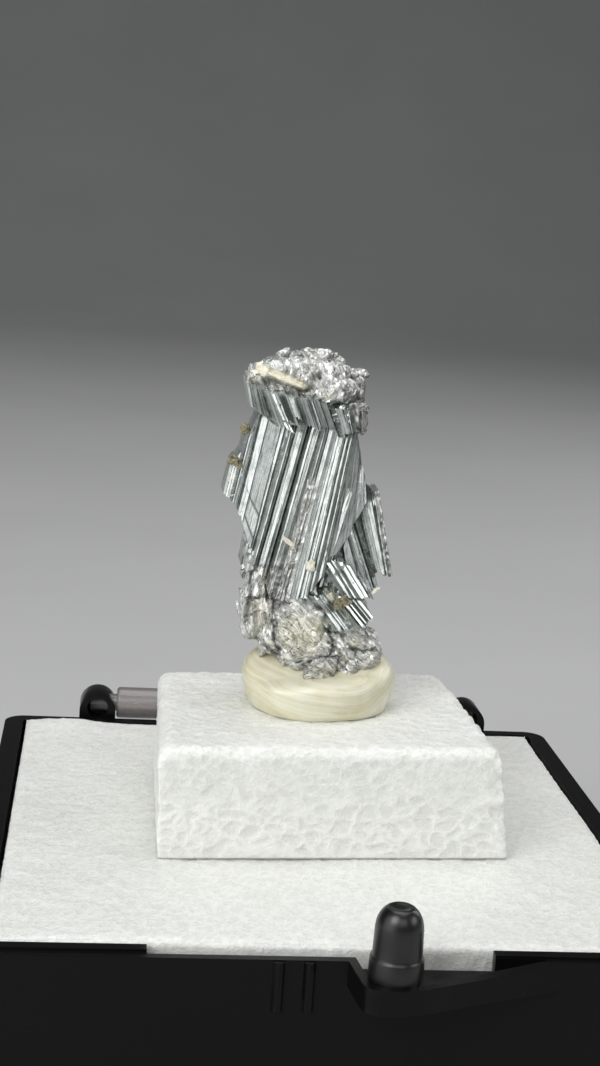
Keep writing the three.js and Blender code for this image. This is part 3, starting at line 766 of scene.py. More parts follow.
def bundle_solid(name, bundle, seed):
    """The closed solid of one bundle of striated bands."""
    lines = bundle_lines(bundle, random.Random(seed))
    lean_back = math.tan(math.radians(bundle.get("lean_back", 0)))
    rows = max(3, round(max(line[3] - line[2] for line in lines) / ROW_HEIGHT))
    front, back = [], []
    for (x, y, foot, top, slide, _, breaks), mirrored in zip(lines, reversed(lines)):
        far = bundle["back"] + 0.9 * (mirrored[1] - mirrored[5])
        near_column, far_column = [], []
        for j in range(rows + 1):
            z = foot + (top - foot) * j / rows
            across = x + slide * (z - bundle["level"])
            sway = 0.012 * noise.noise(Vector((x * 0.7, z * 0.5, seed)))
            near = y + 0.012 * noise.noise(Vector((x * 0.8, z * 0.45, seed + 5)))
            near += lean_back * (z - bundle["level"])
            near += sum(shift for height, shift in breaks if z < height)
            rough = broken_patch(across, z)
            if rough > 0.005:
                near += rough * noise.fractal(Vector((across * 3.4, z * 3.4, seed)), 0.6, 2.1, 4)
            near_column.append((across + sway, near, z))
            far_column.append((across + sway, far, z))
        front.append(near_column)
        back.append(far_column)
    return slab(name, front, back)


def random_vector(rng):
    return Vector((rng.gauss(0, 1), rng.gauss(0, 1), rng.gauss(0, 1)))


def shard(centre, size, rng):
    """A small angular crystal: the hull of a few random points."""
    bm = bmesh.new()
    stretch = Vector((rng.uniform(0.6, 1.1), rng.uniform(0.6, 1.1), rng.uniform(0.8, 1.5)))
    for _ in range(11):
        direction = random_vector(rng).normalized()
        bm.verts.new(direction * stretch * size + Vector(centre))
    hull = bmesh.ops.convex_hull(bm, input=bm.verts)
    inside = [v for v in hull["geom_interior"] if isinstance(v, bmesh.types.BMVert)]
    bmesh.ops.delete(bm, geom=inside, context="VERTS")
    return from_bmesh("shard", bm, STONE_PLACE)


def prism_crystal(centre, size, rng):
    """A small blocky crystal: a turned box with its own proportions."""
    bm = bmesh.new()
    bmesh.ops.create_cube(bm, size=1)
    stretch = Vector((rng.uniform(0.5, 1), rng.uniform(0.5, 1), rng.uniform(0.9, 1.8))) * size
    turn = Matrix.Rotation(rng.uniform(0, math.pi), 3, random_vector(rng))
    for v in bm.verts:
        v.co = turn @ (v.co * stretch) + Vector(centre)
    return from_bmesh("block", bm, STONE_PLACE)


def plates(p, size):
    """Relief of small flat plates, each with its own tilt, with cracks between them."""
    near, cells = noise.voronoi(p / size)
    tilt = noise.cell_vector(cells[0] * 17.3) - Vector((0.5, 0.5, 0.5))
    offset = noise.cell(cells[0] * 9.1) - 0.5
    crack = math.exp(-(((near[1] - near[0]) / 0.07) ** 2))
    return size * (0.8 * (p / size - cells[0]).dot(tilt) + 0.14 * offset - 0.05 * crack)


def near_spot(p, x, z, wide, high):
    """How near a place is to a spot on the front of the group, from 0 to 1."""
    return math.exp(-(((p.x - x) / wide) ** 2) - ((p.z - z) / high) ** 2)


def leaf_place(p):
    """Across and along the leaves of the foot, which sweep round its left and slant in its middle."""
    x, z = p.x + 0.5, (p.z - 10.7) / 1.2
    reach = math.hypot(x, z)
    if reach > 1.75 and p.x < 0.4:
        return reach + 0.2 * p.y, 2 * math.atan2(x, -z)
    return 0.6 * p.x + 0.8 * p.z + 0.2 * p.y, 0.8 * p.x - 0.6 * p.z


def leaves(p, per_mm, sway):
    """Relief of thin overlapping leaves."""
    across, along = leaf_place(p)
    place = across * per_mm + sway * noise.noise(p * 1.1) + 0.25 * noise.noise(p * 2.6)
    share = place - math.floor(place)
    thick = 0.3 + 0.7 * noise.cell(Vector((math.floor(place), math.floor(0.6 * along), 0.5)))
    return thick * (share - 0.5)


# Deep grooves that part the masses of the foot: runs of (x, z) places.
GROOVES = [
    [(-2.95, 9.1), (-2.2, 8.5), (-1.55, 7.85), (-1.0, 7.3)],
    [(-0.9, 7.3), (-0.45, 8.05), (0.15, 8.45), (1.15, 8.4)],
    [(-2.1, 11.6), (-2.15, 10.3), (-2.2, 9.2), (-1.7, 8.5)],
    [(0.55, 9.9), (0.75, 9.2), (0.7, 8.6)],
    [(1.15, 8.4), (1.2, 7.6), (1.0, 7.0)],
    [(1.15, 9.95), (1.5, 9.0), (2.35, 8.75), (3.1, 8.9)],
    [(-3.5, 12.4), (-3.45, 11.2), (-3.6, 9.8)],
    [(-2.2, 12.9), (-2.7, 12.0), (-2.55, 11.2)],
]


def groove_at(p):
    """How deep in a groove a place on the front of the foot is, from 0 to 1."""
    place = Vector((p.x + 0.08 * noise.noise(p * 1.7), p.z + 0.08 * noise.noise(p * 1.9)))
    best = 1.0
    for run in GROOVES:
        for a, b in zip(run, run[1:]):
            start, end = Vector(a), Vector(b)
            span = end - start
            share = min(1.0, max(0.0, (place - start).dot(span) / span.length_squared))
            best = min(best, (place - start.lerp(end, share)).length)
    return math.exp(-((best / 0.09) ** 2)) * smoothstep(0.4, -0.4, p.y)


def foot_relief(p):
    """Relief of the broken foot, in millimetres, at a place on the group."""
    calm = near_spot(p, -2.9, 10.4, 0.9, 1.5) + near_spot(p, -1.3, 9.0, 1.5, 1.6)
    relief = 0.2 * leaves(p, 2.2, 1.0) + 0.04 * leaves(p, 6.0, 1.5)
    relief += (1 - 0.6 * min(1.0, calm)) * (0.9 * plates(p, 1.3) + 0.15 * plates(p, 0.55))
    return relief - 0.26 * groove_at(p) + 0.04 * noise.fractal(p * 1.6, 0.7, 2.1, 3)


def summit_relief(p):
    """Relief of the crumpled summit."""
    smooth = max(near_spot(p, -2.9, 22.9, 0.6, 0.4), near_spot(p, -0.1, 22.0, 0.6, 0.35))
    bent = p + 0.3 * noise.noise_vector(p * 1.2)
    fold = 1 - 2 * abs(noise.noise(Vector((bent.x * 1.5, bent.y * 1.5, bent.z))))
    fine = 1 - 2 * abs(noise.noise(Vector((bent.x * 3.6, bent.y * 3.6, bent.z * 2.2 + 7))))
    return (1 - 0.75 * smooth) * (0.26 * fold + 0.05 * fine + 0.4 * plates(p, 0.8) - 0.14)


def lump(centre, radii, seed, relief, detail=5, turn=0):
    """A broken lump: a squared ellipsoid with relief, turned in the plane seen from the front."""
    bm = bmesh.new()
    bmesh.ops.create_icosphere(bm, subdivisions=detail, radius=1)
    middle = Vector(centre)
    rotation = Matrix.Rotation(math.radians(turn), 3, "Y")
    for v in bm.verts:
        p = v.co
        square = 0.94 / (p.x**4 + p.y**4 + p.z**4) ** 0.14
        place = rotation @ Vector((p.x * radii[0], p.y * radii[1], p.z * radii[2])) * square
        spot = place + middle
        swell = 0.1 * noise.noise(spot * 0.9 + Vector((seed, 0, 0)))
        v.co = spot + place.normalized() * (swell + relief(spot))
    return from_bmesh("lump", bm, STONE_PLACE)


def ridge_relief(p):
    """Relief of the cream ridge, which thins out to the right."""
    return 0.05 * noise.fractal(p * 2.2, 0.7, 2.1, 3) - 0.04 * smoothstep(-3.2, -1.6, p.x)


# The broken foot of the group, and the summit: centre and radii of each lump.
FOOT_LUMPS = [
    ((-3.15, 0.2, 12.9), (0.75, 1.2, 1.75)),
    ((-2.75, 0.3, 10.8), (1.2, 1.5, 1.95)),
    ((-2.0, 0.1, 9.35), (1.05, 1.45, 0.95)),
    ((-2.15, 0.1, 8.85), (0.85, 1.3, 0.7)),
    ((-1.05, 0.1, 9.9), (1.6, 1.75, 1.75)),
    ((-1.05, 0.1, 8.5), (1.05, 1.6, 0.95)),
    ((0.3, 0.1, 8.1), (1.5, 1.7, 1.2)),
    ((1.4, 0.3, 9.6), (1.6, 1.6, 1.6)),
    ((2.05, 0.2, 8.45), (1.38, 1.7, 1.4)),
    ((1.2, 0.1, 8.7), (1.6, 1.72, 1.45)),
    ((-0.3, 0.6, 12.0), (2.1, 1.5, 2.6)),
]
SUMMIT_LUMPS = [
    ((-3.35, -0.1, 21.95), (0.75, 1.15, 0.95)),
    ((-2.6, 0.3, 22.1), (1.0, 1.3, 1.1)),
    ((-1.7, 0.3, 22.0), (1.2, 1.3, 1.3)),
    ((-0.6, 0.2, 21.9), (1.2, 1.3, 1.35)),
    ((0.2, 0.1, 22.0), (0.6, 1.0, 1.0)),
    ((0.5, 0.1, 21.4), (0.95, 1.3, 1.1)),
    ((0.0, -0.85, 21.65), (0.9, 0.65, 0.75)),
    ((-0.3, 0.0, 20.6), (1.9, 1.3, 0.9)),
]

# Small lumps that make the outline of the summit: [x, y, z, size].
LANDMARKS = [
    (-2.5, 0.2, 23.18, 0.3),
    (-1.9, 0.3, 23.0, 0.4),
    (-1.3, 0.3, 23.1, 0.4),
    (-0.75, 0.2, 23.05, 0.4),
    (-0.25, 0.2, 23.1, 0.38),
    (0.15, 0.1, 22.85, 0.36),
    (0.4, 0.0, 22.45, 0.36),
    (0.95, -0.1, 22.5, 0.24),
    (1.38, -0.1, 22.6, 0.2),
    (1.62, -0.1, 22.5, 0.13),
    (1.2, -0.2, 22.0, 0.36),
    (1.15, -0.4, 21.45, 0.4),
    (1.25, -0.6, 20.85, 0.38),
    (1.32, -0.72, 20.35, 0.34),
    (0.95, -0.95, 20.85, 0.36),
    (1.45, -0.55, 19.95, 0.26),
    (0.75, -1.2, 20.6, 0.32),
    (1.1, -1.05, 20.25, 0.32),
    (1.38, -0.85, 20.8, 0.3),
    (-3.95, -0.8, 22.3, 0.3),
    (-3.5, -0.9, 22.5, 0.34),
]


def summit_height(x, y):
    """The height of the summit's crust over a place."""
    swell = 1.15 * smoothstep(-1.4, 0.9, y) + 0.25 * math.exp(-((x + 0.6) ** 2))
    return 21.75 + swell - 0.45 * max(0, y - 0.9) - 0.2 * (x + 3.95)


def summit_crust(rng):
    """Small crystals that stand out of the summit."""
    crust = []
    for _ in range(22):
        x, y = rng.uniform(-3.6, 1.2), rng.uniform(-0.9, 1.6)
        centre = (x, y, summit_height(x, y) - 0.12)
        size = rng.uniform(0.08, 0.18)
        if rng.random() < 0.5:
            crust.append(shard(centre, size, rng))
        else:
            crust.append(prism_crystal(centre, size * 1.2, rng))
    return crust


def foot_crust(rng):
    """Angular chips on the lumps, mostly low at the right and where the blade breaks off."""
    crust = []
    for centre, radii in FOOT_LUMPS:
        for _ in range(6 if centre[0] > 1 or centre[0] < -3 else 1):
            up = rng.uniform(-0.8, 0.85)
            turn = rng.uniform(0, 2 * math.pi)
            out = 0.94 * math.sqrt(1 - up * up)
            place = (
                centre[0] + radii[0] * out * math.cos(turn),
                centre[1] + radii[1] * out * math.sin(turn),
                centre[2] + radii[2] * up,
            )
            crust.append(shard(place, rng.uniform(0.12, 0.32), rng))
    return crust


def roughness_at(p):
    """How broken the surface is: 1 on the foot and the summit, 0 on the smooth striated crystals."""
    summit = smoothstep(21.2, 21.6, p.z - 0.18 * max(0.0, -1.5 - p.x))
    edge = 11.2 + 1.15 * smoothstep(-0.6, -3.2, p.x)
    foot = smoothstep(edge + 0.25, edge - 0.35, p.z)
    striped = smoothstep(0.0, 0.4, p.x) * smoothstep(9.5, 9.9, p.z - 0.25 * p.x + 0.3)
    back = smoothstep(1.3, 1.8, p.y)
    summit *= 1 - 0.8 * near_spot(p, -3.0, 22.9, 0.7, 0.4)
    summit = max(summit, smoothstep(0.75, 0.95, p.x - 0.4 * (20.9 - p.z)) * smoothstep(19.7, 20.0, p.z))
    return max(summit, foot * (1 - striped), 0.7 * back, min(1.0, 8 * broken_patch(p.x, p.z)))


# Films on the crystals: (x, z, half width, half height, cream, brown), seen from the front.
FILMS = [
    (-0.8, 9.6, 1.7, 1.4, 0.85, 0.0),
    (-2.9, 10.6, 0.9, 1.7, 0.62, 0.0),
    (-2.0, 9.0, 0.9, 0.6, 0.55, 0.05),
    (0.3, 7.9, 0.8, 0.6, 0.5, 0.0),
    (-3.0, 12.4, 0.6, 0.7, 0.45, 0.1),
    (0.55, 11.5, 0.5, 0.34, 0.75, 0.1),
    (1.5, 10.75, 0.26, 0.55, 0.5, 0.4),
    (1.95, 9.25, 0.45, 0.4, 0.8, 0.0),
    (2.7, 8.6, 0.5, 0.5, 0.5, 0.0),
    (-4.7, 17.0, 0.35, 0.9, 0.5, 0.2),
    (-4.35, 18.9, 0.3, 0.9, 0.45, 0.1),
    (-0.78, 18.9, 0.28, 0.8, 0.35, 0.42),
    (-0.9, 15.8, 0.3, 0.8, 0.4, 0.1),
    (-0.35, 21.5, 0.5, 0.2, 0.85, 0.0),
    (0.1, 21.9, 0.8, 0.5, 0.4, 0.0),
    (-3.95, 22.2, 0.35, 0.35, 0.6, 0.35),
    (-3.5, 21.6, 0.45, 0.7, 0.25, 0.42),
]
# The cream ridge that slants down the front of the summit: the ends of its film, and the body under it.
CREAM_EDGE = (Vector((-3.9, 22.72)), Vector((-1.5, 21.85)))
RIDGE_CENTRE = (-2.72, -1.06, 22.24)
RIDGE_RADII = (1.3, 0.32, 0.11)
RIDGE_TURN = 19.5


def films_and_shade_at(p, turn):
    """Cream, brown and lightness at a place on the stone. The lightness varies at random. It is painted
    lighter on faces that look left and up and darker on faces that look right and down, as painted light and
    shade. It is painted dark in the foot's grooves, as painted shade. It is lighter where the surface is
    broken and darker in a few places. Turn is how far its face looks right and down.
    """
    cream = brown = 0.0
    if p.y < 0.8:
        for x, z, wide, high, some_cream, some_brown in FILMS:
            near = near_spot(p, x, z, wide, high)
            cream = max(cream, some_cream * near)
            brown = max(brown, some_brown * near)
        a, b = CREAM_EDGE
        place = Vector((p.x, p.z))
        along = min(1.0, max(0.0, (place - a).dot(b - a) / (b - a).length_squared))
        gap = (place - a.lerp(b, along)).length
        if p.y < -0.4:
            cream = max(cream, 1.6 * math.exp(-((gap / (0.3 - 0.12 * along)) ** 2)))
    else:
        cream = 0.45 * smoothstep(12.5, 10, p.z)
    tone_and_shade = 0.6 + 0.15 * soft_noise(p, 0.8)
    # Painted light and shade: faces that look left and up are painted lighter, and faces that look right and
    # down darker.
    tone_and_shade += 0.3 * smoothstep(0.2, 0.5, -turn) - 0.5 * smoothstep(0.12, 0.5, turn)
    tone_and_shade += (0.16 if p.z > 19 else 0.36) * roughness_at(p)
    tone_and_shade -= 0.45 * near_spot(p, -2.7, 12.2, 1.0, 1.3) + 0.3 * near_spot(p, -3.5, 10.0, 0.5, 1.6)
    tone_and_shade -= 0.2 * smoothstep(19.6, 20.0, p.z + 0.12 * p.x) * smoothstep(21.6, 21.2, p.z)
    tone_and_shade -= 0.35 * smoothstep(2.35, 2.6, p.x + 0.27 * (p.z - 15)) * smoothstep(12.2, 12.6, p.z)
    if p.z < 13:
        # Painted shade in the foot's grooves: they are painted dark and lose their cream.
        groove = groove_at(p)
        tone_and_shade -= 0.8 * groove
        cream *= 1 - groove
    return cream, brown, min(1.0, max(0.0, tone_and_shade))


def striae_at(p):
    """A place counted across and along the striations or the leaves of the crystal that it lies on."""
    broken = roughness_at(p) > 0.5
    if broken and p.z < 14:
        across, along = leaf_place(p)
        return (across * 4.6 + 0.9 * noise.noise(p * 1.2), along * 0.55, p.y * 1.4)
    if broken and p.z > 21:
        return ((p.x + 0.7 * p.z) * 3.2, (0.7 * p.x - p.z) * 0.8, p.y * 1.8)
    on_cap = p.z > 19.9 - 0.12 * p.x and p.z > 19.6
    on_rungs = p.z < 13.4 and p.x > 0.55 * (p.z - 11.3)
    on_wing = p.x > 1.1 and p.x > 1.95 - 0.3 * (p.z - 16)
    lean = -21 if on_cap else -38 if on_rungs else -17 if on_wing else 11
    across = p.x - math.tan(math.radians(lean)) * p.z
    return (across * 14, p.z * 0.9, p.y * 5)


def paint_stone(piece):
    """Stores the films, the lightness painted on each face as painted light and shade, and the run of the
    striations on the corners of the stone's faces.
    """
    mesh = piece.data
    film = mesh.color_attributes.new("film", "FLOAT_COLOR", "CORNER")
    striae = mesh.attributes.new("striae", "FLOAT_VECTOR", "CORNER")
    places = [v.co / MM - STONE_PLACE for v in mesh.vertices]
    rough = [roughness_at(p) for p in places]
    run = [striae_at(p) for p in places]
    for face in mesh.polygons:
        turn = face.normal.x - 1.2 * face.normal.z
        for corner in face.loop_indices:
            k = mesh.loops[corner].vertex_index
            film.data[corner].color = (*films_and_shade_at(places[k], turn), rough[k])
            striae.data[corner].vector = run[k]


def make_stone():
    """The crystal group as one closed solid, painted with its films and with painted light and shade on its
    faces.
    """
    rng = random.Random(41)
    solids = [bundle_solid(f"bundle_{i}", bundle, 11 + i) for i, bundle in enumerate(BUNDLES)]
    solids += [lump(centre, radii, i, foot_relief) for i, (centre, radii) in enumerate(FOOT_LUMPS)]
    solids += [lump(centre, radii, i, summit_relief) for i, (centre, radii) in enumerate(SUMMIT_LUMPS)]
    solids += [lump(row[:3], (row[3],) * 3, i, summit_relief, 4) for i, row in enumerate(LANDMARKS)]
    solids += [lump(RIDGE_CENTRE, RIDGE_RADII, 3, ridge_relief, 4, RIDGE_TURN)]
    solids += summit_crust(rng) + foot_crust(rng)
    stone = keep_largest_part(boolean(solids[0], solids[1:], "UNION"))
    stone.name = "bournonite_crystals"
    turn_smooth(stone, 22)
    paint_stone(stone)
    return stone


# Foam

def box_grid(steps, rule):
    """A closed box with steps along x, y and z, each point placed by rule(u, v, w). Its foot is one face."""
    bm = bmesh.new()
    nx, ny, nz = steps
    made = {}

    def vert(i, j, k):
        key = (i, j, k)
        if key not in made:
            made[key] = bm.verts.new(rule(i / nx, j / ny, k / nz))
        return made[key]

    for i in range(nx):
        for j in range(ny):
            bm.faces.new([vert(i, j, nz), vert(i + 1, j, nz), vert(i + 1, j + 1, nz), vert(i, j + 1, nz)])
    ring = [(i, 0) for i in range(nx)] + [(nx, j) for j in range(ny)]
    ring += [(i, ny) for i in range(nx, 0, -1)] + [(0, j) for j in range(ny, 0, -1)]
    for a, b in zip(ring, ring[1:] + ring[:1]):
        for k in range(nz):
            bm.faces.new([vert(*a, k), vert(*b, k), vert(*b, k + 1), vert(*a, k + 1)])
    bm.faces.new([vert(*a, 0) for a in reversed(ring)])
    return bm


def cup(p, size, stretch):
    """How deep the cut foam is at a place: 0 on a cell's wall, 1 in the middle of the cell."""
    place = Vector((p.x * stretch[0], p.y * stretch[1], p.z * stretch[2])) / size
    near = noise.voronoi(place + 0.4 * noise.noise_vector(place * 1.3))[0]
    return smoothstep(0.0, 0.42, near[1] - near[0])


def foam_piece(name, bm, rule, low):
    """Moves each point above the height low by rule(point, top share), and stores how near a wall it is."""
    bm.normal_update()
    moves, walls = [], []
    for v in bm.verts:
        move, wall = rule(v.co, smoothstep(0.5, 0.9, v.normal.z))
        moves.append(v.normal * move)
        walls.append(wall)
    for v, move in zip(bm.verts, moves):
        v.co += move * smoothstep(low, low + 0.2, v.co.z)
    piece = from_bmesh(name, bm)
    layer = piece.data.color_attributes.new("walls", "FLOAT_COLOR", "POINT")
    for cell, wall in zip(layer.data, walls):
        cell.color = (wall, wall, wall, 1)
    turn_smooth(piece)
    return piece


def rounded(gaps, radius):
    """The gaps of a place from the sides of a box, after the edges between the sides are rounded."""
    reach = [max(0.0, radius - gap) for gap in gaps]
    length = math.hypot(*reach)
    if length <= radius:
        return gaps
    return [gap if r == 0 else radius - r * radius / length for gap, r in zip(gaps, reach)]


# The block's corners at its foot and top, from the front left one round, and about how long its sides are.
BLOCK_FEET = [(-7.66, -5.98), (9.36, -4.92), (8.48, 8.78), (-7.58, 7.22)]
BLOCK_TOPS = [(-7.86, -5.9), (8.74, -4.82), (7.92, 8.62), (-7.52, 7.12)]
BLOCK_SIZES = (16.6, 13.2, BLOCK_HEIGHT)
# How far its edges are worn round: least low down, and most at the top.
LEAST_WORN = 0.15
MOST_WORN = 0.6


def block_place(u, v, w):
    """The hand-cut foam block: its sides lean and it stands a little turned, and its edges are worn round."""
    worn = MOST_WORN + 0.15 * noise.noise(Vector((u * 9, v * 7, 0.5)))
    worn = LEAST_WORN + (worn - LEAST_WORN) * smoothstep(1.1, 0.3, (1 - w) * BLOCK_HEIGHT)
    gaps = [min(u, 1 - u) * BLOCK_SIZES[0], min(v, 1 - v) * BLOCK_SIZES[1], (1 - w) * BLOCK_SIZES[2]]
    shares = [gap / size for gap, size in zip(rounded(gaps, worn), BLOCK_SIZES)]
    u = shares[0] if u < 0.5 else 1 - shares[0]
    v = shares[1] if v < 0.5 else 1 - shares[1]
    w = 1 - shares[2]

    def corner(corners, axis):
        low = (1 - u) * corners[0][axis] + u * corners[1][axis]
        high = (1 - u) * corners[3][axis] + u * corners[2][axis]
        return (1 - v) * low + v * high

    x = (1 - w) * corner(BLOCK_FEET, 0) + w * corner(BLOCK_TOPS, 0)
    y = (1 - w) * corner(BLOCK_FEET, 1) + w * corner(BLOCK_TOPS, 1)
    return Vector((x, y, LINER_TOP + 0.1 + w * (BLOCK_HEIGHT - 0.1)))


def block_relief(p, top):
    """Big open cells low on the sides, small ones towards the top and on it."""
    low = smoothstep(BLOCK_TOP - 0.6, BLOCK_TOP - 3.6, p.z) * (1 - top)
    big = cup(p, 0.82, (0.85, 0.85, 1.3))
    small = cup(p, 0.5, (0.9, 0.9, 1.2))
    depth = low * 0.07 * big + (1 - low) * 0.04 * small
    sway = 0.06 * soft_noise(p, 0.5, 3.0) + 0.04 * soft_noise(p, 1.7, 9.0)
    torn = smoothstep(6.5, 8.8, p.x) * smoothstep(LINER_TOP + 0.3, LINER_TOP + 2, p.z)
    sway += 0.14 * torn * noise.noise(p * 1.6) + 0.05 * torn * noise.noise(p * 4)
    return sway - depth, 1 - (low * big + (1 - low) * small)


def make_foam_block():
    grid = box_grid((176, 142, 56), block_place)
    return foam_piece("foam_block_cut", grid, block_relief, LINER_TOP + 0.1)


LINER_HALF = 14.78
LINER_FOOT = 1.05


def liner_place(u, v, w):
    """The square liner."""
    z = LINER_FOOT + w * (LINER_TOP - LINER_FOOT)
    return Vector((LINER_HALF * (2 * u - 1), LINER_HALF * (2 * v - 1), z))


def liner_relief(p, top):
    """Small cells all over, a slightly wavy top, a raised back left corner and worn edges."""
    small = cup(p, 0.5, (1, 1, 1))
    sway = 0.09 * soft_noise(p, 0.25, 5.0) + 0.04 * soft_noise(p, 1.3, 2.0)
    raised = 0.28 * math.exp(-((p.x + 12.2) ** 2 + (p.y - 14.4) ** 2) / 4)
    worn = 0.2 * max(0.0, 1 - (LINER_HALF - max(abs(p.x), abs(p.y))) / 0.4) ** 2
    return top * (sway + raised - worn) - 0.035 * small + (1 - top) * 0.02 * sway, 1 - small


def make_foam_liner():
    grid = box_grid((250, 250, 24), liner_place)
    return foam_piece("foam_liner_cut", grid, liner_relief, LINER_TOP - 2.5)


# Putty

PUTTY_CENTRE = (0.3, 1.9)
PUTTY_WIDTH = 7.9
PUTTY_DEPTH = 7.0
PUTTY_HEIGHT = 3.7
PUTTY_FOOT = BLOCK_TOP + 0.02
# How far below its middle the unit ball is cut flat, and how softly the ball is pressed down from above.
PUTTY_CUT = 0.62
PUTTY_SOFT = 0.6


def putty_place(p):
    """Where a point of the unit ball goes on the pressed ball of putty."""
    spread = 1 + 0.03 * math.sin(3 * math.atan2(p.y, p.x) + 1) + 0.02 * math.sin(7 * p.x + 4 * p.z)
    low = max(p.z, -PUTTY_CUT)
    spread *= (1 - low * low) ** -0.27 if p.z < 0 else 1 - 0.08 * p.z
    x = PUTTY_CENTRE[0] + p.x * spread * PUTTY_WIDTH / 2
    y = PUTTY_CENTRE[1] + p.y * spread * PUTTY_DEPTH / 2
    most = BLOCK_TOP + 1.95 + 1.9 * smoothstep(0, 3, y) + 0.1 * x
    z = PUTTY_FOOT + PUTTY_HEIGHT * (low + PUTTY_CUT) / (1 + PUTTY_CUT)
    if z > most - PUTTY_SOFT:
        z = most - PUTTY_SOFT * math.exp(-(z - most + PUTTY_SOFT) / PUTTY_SOFT)
    return Vector((x, y, z))


def putty_flow(p):
    """Across and along the kneading streaks, which sag like a bowl and wander."""
    x, y = p.x - PUTTY_CENTRE[0], p.y - PUTTY_CENTRE[1]
    along = math.hypot(4, 1) * math.atan2(x, 6 - y)
    fold = p.z - BLOCK_TOP - 0.075 * x * x + 0.05 * x + 0.5 * soft_noise(p, 0.35, 4.0)
    return fold, along


def make_putty(stone):
    """The pressed ball of putty, with the stone cut out of it."""
    bm = bmesh.new()
    bmesh.ops.create_icosphere(bm, subdivisions=6, radius=1)
    for v in bm.verts:
        v.co = putty_place(v.co)
    bm.normal_update()
    moves = []
    for v in bm.verts:
        fold, along = putty_flow(v.co)
        ridge = 1 - abs(noise.noise(Vector((fold * 3.4, 0.25 * along, 0.7)))) * 2
        moves.append(v.normal * (0.035 * ridge + 0.08 * soft_noise(v.co, 0.7, 1.0) - 0.035))
    for v, move in zip(bm.verts, moves):
        v.co += move * smoothstep(PUTTY_FOOT + 0.02, PUTTY_FOOT + 0.4, v.co.z)
    putty = from_bmesh("putty_ball", bm)
    cutter = stone.copy()
    cutter.data = stone.data.copy()
    bpy.context.scene.collection.objects.link(cutter)
    boolean(putty, [cutter], "DIFFERENCE")
    keep_largest_part(putty)
    layer = putty.data.color_attributes.new("flow", "FLOAT_COLOR", "POINT")
    for vert, cell in zip(putty.data.vertices, layer.data):
        fold, along = putty_flow(vert.co / MM)
        cell.color = (fold * 9, along * 0.6, 0.3, 1)
    turn_smooth(putty, 40)
    return putty


# Small grains

# Name, centre, radii, turn in degrees seen from the front, and look.
GRAINS = [
    ("calcite_rod", (-1.75, -1.28, 14.2), (0.47, 0.13, 0.12), 38, "pale"),
    ("calcite_grain", (-0.61, -1.3, 13.07), (0.27, 0.17, 0.33), 0, "pale"),
    ("calcite_curl", (2.8, -0.8, 11.85), (0.3, 0.12, 0.1), -42, "pale"),
    ("siderite_tuft", (-4.5, -0.4, 17.95), (0.44, 0.34, 0.32), 15, "brown"),
    ("siderite_speck", (-4.15, -0.3, 19.55), (0.24, 0.25, 0.3), 20, "brown"),
    ("siderite_patch", (1.05, -1.45, 11.3), (0.42, 0.2, 0.34), -40, "brown"),
]


def make_grain(name, centre, radii, turn, seed, rugged):
    """An irregular grain with a broken, uneven skin."""
    bm = bmesh.new()
    bmesh.ops.create_icosphere(bm, subdivisions=5, radius=1)
    rotation = Matrix.Rotation(math.radians(turn), 3, "Y")
    for v in bm.verts:
        p = v.co.copy()
        swell = 0.9 + (0.2 + 0.3 * rugged) * noise.noise(p * 1.5 + Vector((seed, 0, 0)))
        swell += rugged * (plates(p + Vector((seed, 1, 2)), 0.8) + 0.12 * noise.noise(p * 5))
        v.co = rotation @ Vector([c * r * swell for c, r in zip(p, radii)]) + Vector(centre)
    piece = from_bmesh(name + "_grain", bm, STONE_PLACE)
    turn_smooth(piece, 30)
    return piece


# The box base and the hinge rod keep their CAD shape, with softened edges

def smooth_by_angle(node, degrees):
    """Shades the faces of a CAD node smooth where they meet at less than an angle."""
    group = bpy.data.node_groups.new("smooth_by_angle", "GeometryNodeTree")
    group.interface.new_socket("Geometry", in_out="INPUT", socket_type="NodeSocketGeometry")
    group.interface.new_socket("Geometry", in_out="OUTPUT", socket_type="NodeSocketGeometry")
    start = group.nodes.new("NodeGroupInput")
    end = group.nodes.new("NodeGroupOutput")
    faces = group.nodes.new("GeometryNodeSetShadeSmooth")
    edges = group.nodes.new("GeometryNodeSetShadeSmooth")
    edges.domain = "EDGE"
    edges.inputs["Shade Smooth"].default_value = False
    angle = group.nodes.new("GeometryNodeInputMeshEdgeAngle")
    sharp = group.nodes.new("ShaderNodeMath")
    sharp.operation = "GREATER_THAN"
    sharp.inputs[1].default_value = math.radians(degrees)
    group.links.new(angle.outputs["Unsigned Angle"], sharp.inputs[0])
    group.links.new(start.outputs[0], faces.inputs["Geometry"])
    group.links.new(faces.outputs["Geometry"], edges.inputs["Geometry"])
    group.links.new(sharp.outputs["Value"], edges.inputs["Selection"])
    group.links.new(edges.outputs["Geometry"], end.inputs[0])
    node.modifiers.new("smooth", "NODES").node_group = group


def soften_edges(node, width):
    """Rounds the edges of a CAD node with modifiers."""
    weld = node.modifiers.new("weld", "WELD")
    weld.merge_threshold = 0.0005 * MM
    flat = node.modifiers.new("flat", "DECIMATE")
    flat.decimate_type = "DISSOLVE"
    flat.angle_limit = math.radians(0.5)
    bevel = node.modifiers.new("edges", "BEVEL")
    bevel.width = width * MM
    bevel.segments = 3
    bevel.limit_method = "ANGLE"
    bevel.angle_limit = math.radians(40)
    smooth_by_angle(node, 32)
    node.modifiers.new("normals", "WEIGHTED_NORMAL").keep_sharp = True


